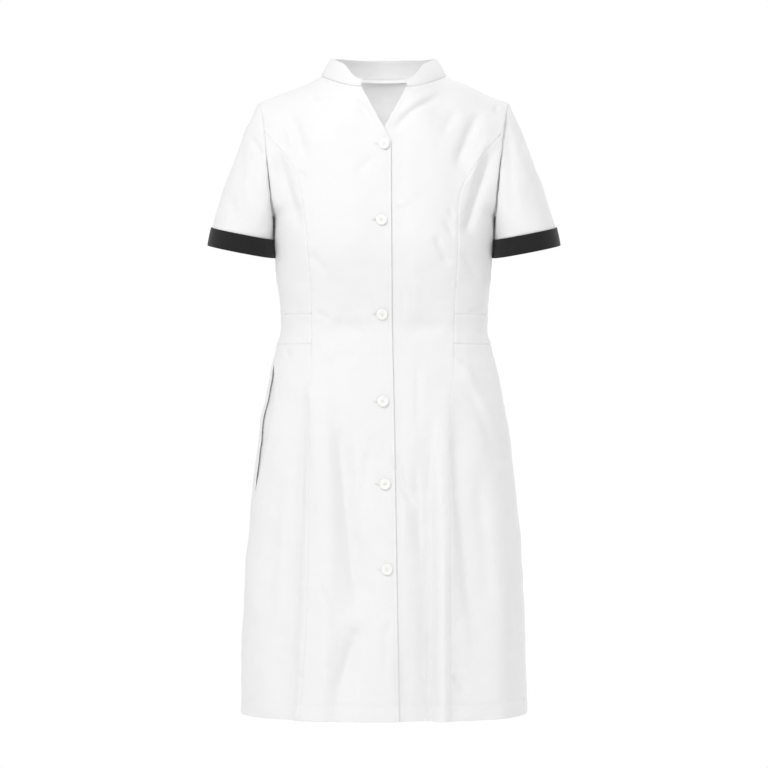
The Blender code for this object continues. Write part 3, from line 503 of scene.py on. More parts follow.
def body(angle, z):
    """The plain worn form. The angle is 0 at the centre front, pi at the back and less than 0 at -X."""
    s = np.sin(angle)
    c = np.cos(angle)
    x = np.sign(s) * reach(np.abs(s), z)
    depth = np.where(c > 0, front_depth(z), back_depth(z))
    rise = np.where(c > 0, FRONT_NECK_RISE, BACK_NECK_RISE)
    drop = np.clip((shoulder_line(x, rise) - z) / SHOULDER_ROUND, 0, 1)
    y = -np.sign(c) * depth * np.abs(c) ** ROUNDNESS * np.sin(drop * math.pi / 2) ** SHOULDER_POWER
    return np.stack([x, y, z + 0 * x], axis=-1)


def body_normal(angle, z):
    """Outward direction of the worn form. Near the shoulder the step along it follows the seam."""
    turn = 1e-4
    lift = 1e-5
    x0 = body(angle - turn, z)[..., 0]
    x1 = body(angle + turn, z)[..., 0]
    rise = np.where(np.cos(angle) > 0, FRONT_NECK_RISE, BACK_NECK_RISE)
    near = shoulder_line(x0, rise) - z < SHOULDER_ROUND
    shift = np.where(near, (shoulder_line(x1, rise) - shoulder_line(x0, rise)) / 2, 0)
    along = body(angle + turn, z + shift) - body(angle - turn, z - shift)
    up = body(angle, z + lift) - body(angle, z - lift)
    normal = np.cross(along, up)
    return normal / np.linalg.norm(normal, axis=-1, keepdims=True)


def crease_lift(crease, x, z):
    """How far a crease lifts the cloth, or sinks it, at points of its face."""
    s = np.linspace(0, 1, CREASE_SAMPLES)[:, None]
    ends = np.array([[crease.x0, crease.z0], [crease.x1, crease.z1], [crease.x2, crease.z2]]) * CM
    line = ends[0] * (1 - s) * (1 - 2 * s) + ends[1] * 4 * s * (1 - s) + ends[2] * s * (2 * s - 1)
    best = np.full(np.shape(x), np.inf)
    place = np.zeros(np.shape(x))
    side = np.zeros(np.shape(x))
    for i in range(len(line) - 1):
        run = line[i + 1] - line[i]
        dx = x - line[i, 0]
        dz = z - line[i, 1]
        share = np.clip((dx * run[0] + dz * run[1]) / (run @ run), 0, 1)
        away = np.hypot(dx - share * run[0], dz - share * run[1])
        nearer = away < best
        place = np.where(nearer, (i + share) / (len(line) - 1), place)
        side = np.where(nearer, dx * run[1] - dz * run[0], side)
        best = np.minimum(away, best)
    downward = 1 if line[0, 1] > line[-1, 1] else -1
    width = np.where(side * downward > 0, crease.minus, crease.plus) * CM
    fade = smooth(place / crease.start) if crease.start else 1
    if crease.end:
        fade = fade * smooth((1 - place) / crease.end)
    return crease.lift * MM * fade * np.exp(-((best / width) ** 2))


def creasing(face, x, z):
    """The sum of a face's creases at its points. A crease out of reach of them all is passed over."""
    total = np.zeros(np.shape(x))
    for crease in map(Crease._make, CREASES[face]):
        margin = CREASE_REACH * max(crease.minus, crease.plus) * CM
        xs = np.array([crease.x0, crease.x1, crease.x2]) * CM
        zs = np.array([crease.z0, crease.z1, crease.z2]) * CM
        across = x.max() > xs.min() - margin and x.min() < xs.max() + margin
        if across and z.max() > zs.min() - margin and z.min() < zs.max() + margin:
            total = total + crease_lift(crease, x, z)
    return total * bpy.context.scene.dress_cloth.creasing


# Slow waves that keep the cloth from lying perfectly even: wavelength, height, direction and start
Wave = namedtuple("Wave", "length height turn start")
WAVES = [
    Wave(11.0, 0.7, 15, 0.3),
    Wave(7.5, 0.45, 35, 1.9),
    Wave(5.2, 0.36, 165, 4.1),
    Wave(3.7, 0.24, 50, 2.6),
    Wave(2.6, 0.14, 120, 5.5),
]
WAVE_BEND = 0.35
WAVE_CROSSING = 1.7


def unevenness(x, z):
    """The slow waves at points of a face, bent a little so that they don't repeat."""
    total = np.zeros(np.shape(x))
    for wave in WAVES:
        turn = math.radians(wave.turn)
        along = x * math.cos(turn) + z * math.sin(turn)
        crossing = x * math.sin(turn) - z * math.cos(turn)
        bend = WAVE_BEND * np.sin(crossing * 2 * math.pi / (wave.length * WAVE_CROSSING * CM))
        total += wave.height * MM * np.sin(along * 2 * math.pi / (wave.length * CM) + wave.start + 3 * bend)
    return total


def relief(angle, z):
    """The folds, creases and bust fullness, measured outwards from the plain form."""
    place = body(angle, z)
    x = place[..., 0]
    front = np.cos(angle) > 0
    total = np.zeros(np.shape(x))
    if front.any():
        total = total + np.where(front, creasing("front", x, z), 0)
    if not front.all():
        total = total + np.where(front, 0, creasing("back", x, z))
    side_fade = smooth((reach(1.0, z) - np.abs(x)) / SIDE_FADE)
    spread = ((np.abs(x) - BUST["x"]) ** 2 + (z - BUST["z"]) ** 2) / BUST["radius"] ** 2
    total = total * side_fade + np.where(front, BUST["rise"] * np.exp(-spread), 0)
    return total + unevenness(x, z)


def cloth(angle, z, out=0.0):
    """Points of the middle of the cloth, moved out by a further distance if one is given."""
    return body(angle, z) + body_normal(angle, z) * (relief(angle, z) + out)[..., None]


def angle_at(x, z, face):
    """The angle of a point given by its x on the front or the back, found by halving."""
    low = 0.0 * (x + z)
    high = low + 1
    for _ in range(HALVINGS):
        middle = (low + high) / 2
        beyond = reach(middle, z) > np.abs(x)
        high = np.where(beyond, middle, high)
        low = np.where(beyond, low, middle)
    turned = np.arcsin(low)
    if face == "back":
        turned = math.pi - turned
    return np.where(np.asarray(x) < 0, -turned, turned)


def stations(stops, step):
    """Levels from the first stop to the last, with fine steps beside each stop, where a seam or fold runs."""
    found = []
    for low, high in zip(stops[:-1], stops[1:]):
        count = max(2, math.ceil((high - low) / step))
        found += list(np.linspace(low, high, count + 1))
        found += [low + fine for fine in FINE] + [high - fine for fine in FINE]
    found = np.unique(np.round(found, 6))
    keep = np.concatenate([[True], np.diff(found) > LEAST_STEP])
    keep[-1] = True
    return found[keep]


def shares(width, step):
    """Places from 0 to 1 across a panel of a width, with fine steps at both ends."""
    return stations([0, width], step) / width


def arc_lengths(points, axis):
    """Distance along a grid of points from its first row or column."""
    steps = np.linalg.norm(np.diff(points, axis=axis), axis=-1)
    start = np.zeros_like(np.take(steps, [0], axis=axis))
    return np.cumsum(np.concatenate([start, steps], axis=axis), axis=axis)


def grid_normals(points, ring=False):
    """Directions square to a grid of points, by the differences across it."""
    if ring:
        across = np.roll(points, -1, axis=1) - np.roll(points, 1, axis=1)
    else:
        across = np.gradient(points, axis=1)
    normal = np.cross(across, np.gradient(points, axis=0))
    return normal / np.maximum(np.linalg.norm(normal, axis=-1, keepdims=True), 1e-12)


# What an edge does to the cloth beside it, in millimetres: the groove of its seam or stitch line,
# the soft ridge of what is turned in behind it, and the puckers that the thread draws
Edge = namedtuple("Edge", "groove groove_at groove_width ridge ridge_at ridge_width pucker")
EDGES = {
    "plain": None,
    "seam": Edge(-0.5, 0, 1.0, 0.25, 5, 3.5, 0.3),
    "pulled": Edge(-1.0, 0, 1.2, 0.35, 5, 3.5, 0.5),
    "free": Edge(-0.3, 5.5, 0.9, 0.25, 2.6, 2.2, 0.10),
    "hem": Edge(-0.6, 25, 1.5, 0.5, 12, 9, 0.16),
    "collar": Edge(-0.25, 4, 0.9, 0.2, 1.6, 1.4, 0.08),
}
PUCKER_WIDTH = 7
PUCKER_CLEAR = 2
# The lengths in millimetres, shares and starts of the waves that make up the puckers
PUCKERS = ((2.7, 1.0, 0.0), (4.1, 0.7, 1.3), (8, 0.5, 0.0))
SEAMS = {"low": "seam", "top": "seam", "first": "seam", "last": "seam"}


def edge_lift(kind, away, along):
    """How an edge lifts or sinks the cloth at distances from it, and along it."""
    edge = EDGES[kind]
    if edge is None:
        return 0 * away
    mm = away / MM
    lift = edge.groove * np.exp(-(((mm - edge.groove_at) / edge.groove_width) ** 2))
    lift += edge.ridge * np.exp(-(((mm - edge.ridge_at) / edge.ridge_width) ** 2))
    tug = sum(share * np.sin(along / (length * MM) + start) for length, share, start in PUCKERS)
    beside = mm - edge.groove_at
    depth = edge.pucker * np.exp(-((beside / PUCKER_WIDTH) ** 2)) * np.clip(np.abs(beside) / PUCKER_CLEAR, 0, 1)
    return (lift + depth * tug) * MM


# The finished panels by name, as grids with their outward directions, which the sewing follows
Panel = namedtuple("Panel", "points normals ring")
panels = {}
ends = {}


def dressed_grid(points, normals, edges, ring=False):
    """A grid with the grooves, ridges and puckers of its edges, named low, top, first and last."""
    down = arc_lengths(points, 0)
    across = arc_lengths(points, 1)
    lift = edge_lift(edges.get("low", "plain"), down, across)
    lift = lift + edge_lift(edges.get("top", "plain"), down[-1:] - down, across)
    if not ring:
        beside = edge_lift(edges.get("first", "plain"), across, down)
        beside = beside + edge_lift(edges.get("last", "plain"), across[:, -1:] - across, down)
        skirt = smooth((WAIST_LOW_Z - points[..., 2]) / (6 * CM))
        lift = lift + beside * (1 - (1 - SKIRT_SEAM_SHARE) * skirt)
    return points + normals * lift[..., None]


def take_in(points, low=SEAM_INSET, top=SEAM_INSET, first=SEAM_INSET, last=SEAM_INSET):
    """Draws each edge of a grid of points in along the grid, which leaves the gap at the seam."""
    points = points.copy()

    def draw(edge, beside, amount):
        way = beside - edge
        return edge + way / np.linalg.norm(way, axis=-1, keepdims=True) * amount

    points[0] = draw(points[0], points[1], low)
    points[-1] = draw(points[-1], points[-2], top)
    points[:, 0] = draw(points[:, 0], points[:, 1], first)
    points[:, -1] = draw(points[:, -1], points[:, -2], last)
    return points


def grid_mesh(name, points, ring=False, flip=False):
    """A mesh on a grid of points, with a UV map in metres along the cloth."""
    rows, columns = points.shape[:2]
    cells = columns if ring else columns - 1
    row = np.arange(rows - 1)[:, None]
    column = np.arange(cells)[None, :]
    beside = (column + 1) % columns
    low, high = row * columns, (row + 1) * columns
    corners = [low + column, low + beside, high + beside, high + column]
    if flip:
        corners = corners[::-1]
    faces = np.stack(corners, axis=-1).reshape(-1, 4)
    mesh = bpy.data.meshes.new(name)
    mesh.from_pydata(points.reshape(-1, 3).tolist(), [], faces.tolist())
    middle = columns // 2
    across = arc_lengths(points, 1)
    u = across - across[:, middle : middle + 1]
    v = arc_lengths(points, 0)[:, middle : middle + 1] + 0 * u
    closing = np.linalg.norm(points[:, 0] - points[:, -1], axis=-1)
    u_end = across[:, -1] - across[:, middle] + closing
    loops = np.stack([u.ravel()[faces], v.ravel()[faces]], axis=-1)
    if ring:
        last = (faces % columns == 0) & (faces[:, [1, 0, 3, 2]] % columns == columns - 1)
        loops[..., 0] = np.where(last, u_end[faces // columns], loops[..., 0])
    mesh.uv_layers.new(name="Cloth").data.foreach_set("uv", loops.astype(np.float32).ravel())
    mesh.shade_smooth()
    return mesh


def add_object(name, data):
    """An object in the scene, on a mesh, a light or a camera."""
    made = bpy.data.objects.new(name, data)
    bpy.context.scene.collection.objects.link(made)
    return made


def recalculated(mesh, merged=0.0):
    """Turns a mesh's faces outwards, after points closer than a distance are merged."""
    shape = bmesh.new()
    shape.from_mesh(mesh)
    if merged:
        bmesh.ops.remove_doubles(shape, verts=shape.verts, dist=merged)
    bmesh.ops.recalc_face_normals(shape, faces=shape.faces)
    shape.to_mesh(mesh)
    shape.free()


def add_panel(name, points, normals, material, wall, ring=False, flip=False):
    """A panel of cloth on a grid, which stands for its solid."""
    panels[name] = Panel(points, normals, ring)
    piece = add_object(name + "_cloth", grid_mesh(name + "_cloth", points, ring, flip))
    piece.data.materials.append(material)
    shell = piece.modifiers.new("Wall", "SOLIDIFY")
    shell.thickness = wall
    shell.offset = 0
    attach(piece, "root")
    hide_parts(name)
    return piece


def add_node(nodes, kind, values=None, **settings):
    """A node of a kind, with its own settings and the values of its sockets."""
    node = nodes.new(kind)
    for name, setting in settings.items():
        setattr(node, name, setting)
    for name, value in (values or {}).items():
        node.inputs[name].default_value = value
    return node


def new_material(name, colour, darker, scale, roughness, specular, sheen=0.0):
    """A material with a slightly mottled base colour, and with it its nodes, links, shader and coordinates."""
    material = bpy.data.materials.new(name)
    material.use_nodes = True
    nodes, links = material.node_tree.nodes, material.node_tree.links
    shader = nodes["Principled BSDF"]
    values = {"Roughness": roughness, "Specular IOR Level": specular}
    values |= {"Sheen Weight": sheen, "Sheen Roughness": 0.5}
    for socket, value in values.items():
        shader.inputs[socket].default_value = value
    place = nodes.new("ShaderNodeTexCoord").outputs["Object"]
    noise = add_node(nodes, "ShaderNodeTexNoise", {"Scale": scale, "Detail": 3})
    ramp = nodes.new("ShaderNodeValToRGB")
    dark, light = ramp.color_ramp.elements
    dark.position, light.position = 0.3, 0.7
    dark.color = [channel * darker for channel in colour] + [1]
    light.color = list(colour) + [1]
    links.new(place, noise.inputs["Vector"])
    links.new(noise.outputs["Fac"], ramp.inputs["Fac"])
    links.new(ramp.outputs["Color"], shader.inputs["Base Color"])
    return material, nodes, links, shader, place


def bump(nodes, links, height, distance, strength, normal=None):
    """A bump node on a height, on top of another bump's direction if one is given."""
    node = add_node(nodes, "ShaderNodeBump", {"Distance": distance, "Strength": strength})
    links.new(height, node.inputs["Height"])
    if normal is not None:
        links.new(normal, node.inputs["Normal"])
    return node.outputs["Normal"]


def grain(nodes, links, shader, place, noise_values, depth, strength, under=None):
    """Fine relief by noise, on top of another bump's direction if one is given."""
    noise = add_node(nodes, "ShaderNodeTexNoise", noise_values)
    links.new(place, noise.inputs["Vector"])
    links.new(bump(nodes, links, noise.outputs["Fac"], depth, strength, under), shader.inputs["Normal"])


def woven_cloth(name, colour, pitch, roughness, specular, sheen, crinkle, darker):
    """Plain-woven cloth: threads both ways on the UV map in metres, with soft crinkles."""
    made = new_material(name, colour, darker, 7, roughness, specular, sheen)
    material, nodes, links, shader, place = made
    flat = add_node(nodes, "ShaderNodeUVMap", uv_map="Cloth")
    weave = add_node(nodes, "ShaderNodeMath", operation="MULTIPLY")
    bands = {"Scale": math.pi / 10 / pitch, "Distortion": 0.4, "Detail Scale": 0.3}
    for direction, socket in zip("XY", weave.inputs):
        wave = add_node(nodes, "ShaderNodeTexWave", bands, bands_direction=direction)
        links.new(flat.outputs["UV"], wave.inputs["Vector"])
        links.new(wave.outputs["Fac"], socket)
    woven = bump(nodes, links, weave.outputs["Value"], pitch * 0.3, 0.2)
    crinkles = {"Scale": 55, "Detail": 5, "Roughness": 0.6}
    grain(nodes, links, shader, place, crinkles, crinkle, 0.5, woven)
    return material


def thread_finish():
    """White sewing thread, finely twisted."""
    made = new_material("White thread", (0.86, 0.86, 0.86), 0.94, 120, 0.6, 0.3, 0.05)
    grain(*made[1:], {"Scale": 3000}, 0.00004, 0.4)
    return made[0]


def button_finish(colour):
    """Polished white plastic with faint clouding and fine scratches."""
    made = new_material("White button", colour, 0.96, 260, 0.22, 0.5)
    shader = made[3]
    shader.inputs["Coat Weight"].default_value = 0.3
    shader.inputs["Coat Roughness"].default_value = 0.1
    grain(*made[1:], {"Scale": 1400, "Detail": 4}, 0.00002, 0.3)
    return made[0]


# What the woven cloths look like: their shine, how deep their crinkles are and how far their colour darkens
WOVEN = {
    "White poplin": {"roughness": 0.85, "specular": 0.25, "sheen": 0.06, "crinkle": 0.3 * MM, "darker": 0.985},
    "White tape": {"roughness": 0.6, "specular": 0.4, "sheen": 0.05, "crinkle": 0.2 * MM, "darker": 0.98},
    "Black cuff cloth": {"roughness": 0.8, "specular": 0.2, "sheen": 0.12, "crinkle": 0.5 * MM, "darker": 0.8},
}
FLOOR_COLOUR = (0.92, 0.92, 0.92)


def finish(name):
    """A finish by its name, made the first time that it is asked for."""
    if name in bpy.data.materials:
        return bpy.data.materials[name]
    scene = bpy.context.scene
    threads = {
        "White poplin": (scene.dress_cloth.colour, scene.dress_cloth.pitch),
        "White tape": (TAPE_COLOUR, TAPE_PITCH),
        "Black cuff cloth": (scene.dress_cuffs.colour, CUFF_PITCH),
    }
    if name in threads:
        return woven_cloth(name, *threads[name], **WOVEN[name])
    if name == "White thread":
        return thread_finish()
    if name == "White button":
        return button_finish(scene.dress_buttons.colour)
    return new_material(name, FLOOR_COLOUR, 0.99, 1.5, 0.9, 0.2)[0]


def neck_edge(share):
    """The front's top edge from the top of the V, share 0, past the neck point to the shoulder, share 1."""
    on_neck = share <= NECK_TURN
    along_neck = np.clip(share / NECK_TURN, 0, 1)
    along_shoulder = np.clip((share - NECK_TURN) / (1 - NECK_TURN), 0, 1)
    x_neck = V_TOP_HALF + (NECK_HALF - V_TOP_HALF) * along_neck
    x_shoulder = NECK_HALF + (SHOULDER_HALF - NECK_HALF) * along_shoulder
    z_neck = V_TOP_Z + (NECK_Z - V_TOP_Z) * along_neck**NECK_SEAM_POWER
    z_shoulder = NECK_Z + (SHOULDER_Z - NECK_Z) * along_shoulder
    return np.where(on_neck, x_neck, x_shoulder), np.where(on_neck, z_neck, z_shoulder)


def outer_edge(side, z):
    """The centre front's outer edge above the lap: the princess seam, then the armhole."""
    return np.where(z <= TIP_Z, princess_x[side](z), armhole_x(z))


def centre_front_grid(side):
    """Places on the face of a centre front, rows going up, columns from its free edge to its outer seam."""
    share = stations([0, NECK_TURN * FRONT_SPAN, FRONT_SPAN], FRONT_STEP) / FRONT_SPAN
    low = stations([HEM_Z, LAP_TOP_Z], FRONT_STEP)
    under = np.minimum(UNDER_EDGE, lap_edge(LAP_TOP_Z) + UNDER_SPREAD * (LAP_TOP_Z - low))
    lap = lap_edge(low) if side < 0 else under
    x_low = -lap[:, None] + (princess_x[side](low) + lap)[:, None] * share
    z_low = low[:, None] + 0 * share
    levels = stations([LAP_TOP_Z, SHOULDER_Z], FRONT_STEP * YOKE_FINER)[1:, None]
    climb = (levels - LAP_TOP_Z) / (SHOULDER_Z - LAP_TOP_Z)
    x_top, z_top = neck_edge(share)
    x_high = x_low[-1] * (1 - climb) + x_top * climb
    z_high = LAP_TOP_Z * (1 - climb) + z_top * climb
    x_high = x_high + (outer_edge(side, levels) - x_high[:, -1:]) * share
    return np.vstack([x_low, x_high]) * side, np.vstack([z_low, z_high])


def under_sink(x):
    """How far the under front lies below the lap, easing out beyond it."""
    near, far = UNDER_BLEND
    return -UNDER_SINK * (1 - smooth((x - near) / (far - near)))


def gape_angle(z, gape):
    """How far the front of a pocket stands open at a height."""
    share = np.clip((POCKET_TOP_Z - z) / (POCKET_TOP_Z - POCKET_LOW_Z), 0, 1)
    drop, ease = GAPE_POWERS
    return math.radians(gape) * np.sin(math.pi * share**drop) ** ease


def side_rows(side, z, share, gape=0.0):
    """Angles and heights of a side front panel, from the princess seam to the armhole or the side seam."""
    inner = np.abs(angle_at(princess_x[side](z), z, "front"))
    outer = np.where(z > UNDERARM_Z, np.abs(angle_at(armhole_x(z), z, "front")), side_angle(z))
    outer = outer - gape_angle(z, gape)
    return side * (inner[:, None] + (outer - inner)[:, None] * share), z[:, None] + 0 * share


def back_rows(z, share):
    """Angles and heights of a back panel between the two side seams or armholes, left to right."""
    outer = np.where(z > UNDERARM_Z, np.abs(angle_at(armhole_x(z), z, "back")), side_angle(z))
    return math.pi - (math.pi - outer)[:, None] * share, z[:, None] + 0 * share


def back_neck_z(x):
    """Height of the back neck seam at x."""
    return NECK_Z + (BACK_NECK_Z - NECK_Z) * (1 - (x / NECK_HALF) ** 2)


def back_yoke(share):
    """Angles and heights of the back above the lap's level, up to the shoulder seams and the neck."""
    on_neck = np.abs(share) <= NECK_SHARE
    past_neck = (np.abs(share) - NECK_SHARE) / (1 - NECK_SHARE)
    shoulder_x = np.sign(share) * (NECK_HALF + past_neck * (SHOULDER_HALF - NECK_HALF))
    top_x = np.where(on_neck, share / NECK_SHARE * NECK_HALF, shoulder_x)
    shoulder_z = NECK_Z - SHOULDER_SLOPE * (np.abs(top_x) - NECK_HALF)
    top_z = np.where(on_neck, back_neck_z(top_x), shoulder_z)
    base_angle, base_z = back_rows(np.array([LAP_TOP_Z]), share)
    base_x = body(base_angle, base_z)[0, :, 0]
    levels = stations([LAP_TOP_Z, SHOULDER_Z], BACK_STEP * YOKE_FINER)[1:, None]
    climb = (levels - LAP_TOP_Z) / (SHOULDER_Z - LAP_TOP_Z)
    x = base_x * (1 - climb) + top_x * climb
    z = LAP_TOP_Z * (1 - climb) + top_z * climb
    x = x + (armhole_x(levels) - x[:, :1]) * share
    return np.where(x < 0, 2 * math.pi, 0) + angle_at(x, z, "back"), z


def armhole_loop(side):
    """Points of an armhole from the shoulder down the front, under the arm and up the back."""
    levels = np.linspace(SHOULDER_Z, UNDERARM_Z, ARMHOLE_POINTS)
    front = cloth(angle_at(side * armhole_x(levels), levels, "front"), levels)
    back = cloth(angle_at(side * armhole_x(levels), levels, "back"), levels)
    return np.vstack([front, back[-2:0:-1]])


def cuff_ring(ring, turn, side):
    """The oval of a cuff at one of its edges, turn 0 at the outer end and pi beside the body."""
    centre = np.array(ring["centre"])
    outward = np.array([math.cos(CUFF_TILT), 0, math.sin(CUFF_TILT)])
    forward = np.array([0, -math.cos(CUFF_NOD), -math.sin(CUFF_NOD)])
    swing = np.cos(turn)
    inner = -np.abs(swing) ** CUFF_SQUARE * (ring["half_width"] + CUFF_REACH)
    across = outward * np.where(swing < 0, inner, swing * ring["half_width"])[..., None]
    points = centre + across + forward * np.sin(turn)[..., None] * ring["half_depth"]
    return points * np.array([side, 1, 1])


def loop_turns(loop):
    """Turns round the sleeve of an armhole's points, by distance along it, half a turn for each face."""
    half = len(loop) // 2
    closed = np.vstack([loop, loop[:1]])
    lengths = np.linalg.norm(np.diff(closed, axis=0), axis=1)
    front = np.concatenate([[0], np.cumsum(lengths[:half])])
    back = np.concatenate([[0], np.cumsum(lengths[half:])])
    return np.concatenate([front / front[-1], 1 + back[1:-1] / back[-1]]) * math.pi


def sleeve_grid(side):
    """Rows of a sleeve from the armhole into the cuff, the turns of its columns and its last free row."""
    loop = armhole_loop(side)
    turn = loop_turns(loop)
    near, far = UNDERARM_EASE
    under = smooth((-np.cos(turn) - near) / (far - near))
    start = SLEEVE_START + (SLEEVE_START_UNDERARM - SLEEVE_START) * under
    loop = loop + np.array([side, 0, 0]) * start[:, None]
    top = cuff_ring(CUFF_TOP, turn, side)
    low = cuff_ring(CUFF_LOW, turn, side)
    out = np.stack([side * np.clip(np.cos(turn), 0, 1), -np.sin(turn), 0 * turn], axis=-1)
    shares_down = stations([0, SLEEVE_LENGTH], FRONT_STEP) / SLEEVE_LENGTH
    rows = [loop * (1 - s) + top * s + out * SLEEVE_BULGE * 4 * s * (1 - s) for s in shares_down]
    inside = [top * (1 - s) + low * s for s in SLEEVE_INSIDE]
    return np.array(rows + inside), turn, len(rows) - 1


def neck_seam():
    """Points of the neck seam from the wearer's right end of the collar round the back to the left end."""
    share = np.linspace(0, NECK_TURN, COLLAR_FRONT_POINTS)
    x, z = neck_edge(share)
    right = cloth(angle_at(-x, z, "front"), z)
    back_x = np.linspace(-NECK_HALF, NECK_HALF, COLLAR_BACK_POINTS)[1:-1]
    back_z = back_neck_z(back_x)
    back = cloth(angle_at(back_x, back_z, "back"), back_z)
    left = cloth(angle_at(x[::-1], z[::-1], "front"), z[::-1])
    return np.vstack([right, back, left])


def dress_panel(name, angle, z, out=0.0, edges=(), side=1, **insets):
    """A panel of white cloth between its seams, on angles and heights of the worn form."""
    points = take_in(cloth(angle, z, out), **insets)
    normals = grid_normals(points) * side
    points = dressed_grid(points, normals, dict(edges))
    wall = bpy.context.scene.dress_cloth.wall
    normals = grid_normals(points) * side
    return add_panel(name, points, normals, finish("White poplin"), wall, flip=side < 0)


class DRESS_OT_fronts(bpy.types.Operator):
    """Make the two centre fronts, the wearer's right one lapping over the left"""

    bl_idname = "dress.fronts"
    bl_label = "Centre fronts"

    def execute(self, context):
        edges = SEAMS | {"low": "hem", "first": "free"}
        for side, name in ((-1, "front_right"), (1, "front_left")):
            x, z = centre_front_grid(side)
            out = under_sink(x) if side > 0 else 0.0
            angle = angle_at(x, z, "front")
            dress_panel(name, angle, z, out, edges, side, low=0, top=SHOULDER_INSET, first=0)
        return {"FINISHED"}


class DRESS_OT_side_fronts(bpy.types.Operator):
    """Make the side bodices, waist insets and side skirts between the princess seams and the sides"""

    bl_idname = "dress.side_fronts"
    bl_label = "Side fronts"

    def execute(self, context):
        parts = (
            ("side_bodice", [WAIST_TOP_Z, UNDERARM_Z, TIP_Z - TIP_GAP], SEAMS | {"top": "plain"}, SEAM_INSET),
            ("waist_inset", [WAIST_LOW_Z, WAIST_TOP_Z], SEAMS, SEAM_INSET),
            ("side_skirt", [HEM_Z, WAIST_LOW_Z], SEAMS | {"low": "hem"}, 0),
        )
        share = shares(SIDE_SPAN, FRONT_STEP)
        for side, word, gape in POCKET_SIDES:
            for name, stops, edges, low in parts:
                z = stations(stops, FRONT_STEP)
                open_by = gape if name == "side_skirt" else 0.0
                angle, level = side_rows(side, z, share, open_by)
                dress_panel(f"{name}_{word}", angle, level, 0.0, edges, side, low=low)
        return {"FINISHED"}


class DRESS_OT_backs(bpy.types.Operator):
    """Make the back bodice, waistband and skirt, each in one piece from side to side"""

    bl_idname = "dress.backs"
    bl_label = "Backs"

    def execute(self, context):
        stops = [-BACK_HALF, -NECK_SHARE * BACK_HALF, NECK_SHARE * BACK_HALF, BACK_HALF]
        share = stations(stops, BACK_STEP)[::-1] / BACK_HALF
        low_angle, low_z = back_rows(stations([WAIST_TOP_Z, UNDERARM_Z, LAP_TOP_Z], BACK_STEP), share)
        yoke_angle, yoke_z = back_yoke(share)
        angle = np.vstack([low_angle, yoke_angle])
        dress_panel("back_bodice", angle, np.vstack([low_z, yoke_z]), edges=SEAMS, top=SHOULDER_INSET)
        band_angle, band_z = back_rows(stations([WAIST_LOW_Z, WAIST_TOP_Z], BACK_STEP), share)
        dress_panel("back_waistband", band_angle, band_z, edges=SEAMS)
        skirt_share = stations([-BACK_HALF, BACK_HALF], BACK_STEP * BACK_SKIRT_FINER)[::-1] / BACK_HALF
        skirt_angle, skirt_z = back_rows(stations([HEM_Z, WAIST_LOW_Z], BACK_STEP), skirt_share)
        dress_panel("back_skirt", skirt_angle, skirt_z, edges=SEAMS | {"low": "hem"}, low=0)
        return {"FINISHED"}


class DRESS_OT_sleeves(bpy.types.Operator):
    """Make the two short sleeves, drawn in a little along the armhole seams"""

    bl_idname = "dress.sleeves"
    bl_label = "Sleeves"

    def execute(self, context):
        for side, word in SIDES:
            points, turn, last = sleeve_grid(side)
            normals = grid_normals(points, ring=True) * side
            front = smooth(2 * np.sin(turn))
            x, z = points[..., 0], points[..., 2]
            down = arc_lengths(points, 0)
            depth, width = SLEEVE_TUCK[side]
            lift = (creasing(f"sleeve_{word}", x, z) - depth * np.exp(-((down / width) ** 2))) * front
            lift = lift + unevenness(x + points[..., 1], z) * smooth(down / SLEEVE_HEAD_FADE)
            lift[last:] = 0
            lift = lift * smooth((down[last] - down) / SLEEVE_END_FADE)
            points = dressed_grid(points + normals * lift[..., None], normals, {"low": "pulled"}, ring=True)
            normals = grid_normals(points, ring=True) * side
            name = f"sleeve_{word}"
            wall = context.scene.dress_cloth.wall
            cloth_finish = finish("White poplin")
            add_panel(name, points, normals, cloth_finish, wall, ring=True, flip=side < 0)
            ends[name] = last
        return {"FINISHED"}


def cuff_section(height, wall):
    """Section of a folded band, out from the sleeve and up from the lower edge, in order round it."""
    out = CUFF_INNER + wall
    corner = wall * CUFF_CORNER
    top = height
    outer = [(out - corner, 0), (out - corner * 0.3, corner * 0.3), (out, corner)]
    outer += [(out + 0.1 * MM, height * share) for share in (0.12, 0.3, 0.5, 0.7, 0.88)]
    upper = [(out, top - corner), (out - corner * 0.3, top - corner * 0.3), (out - corner, top)]
    upper += [(CUFF_INNER + corner * 0.5, top), (CUFF_INNER, top - corner)]
    inner = [(CUFF_INNER, height * share) for share in (0.7, 0.4, 0.12)]
    lip = [(CUFF_INNER - 0.5 * MM, CUFF_LIP), (-0.5 * MM, CUFF_LIP), (-0.75 * MM, CUFF_LIP / 2), (-0.3 * MM, 0)]
    return np.array(outer + upper + inner + lip)


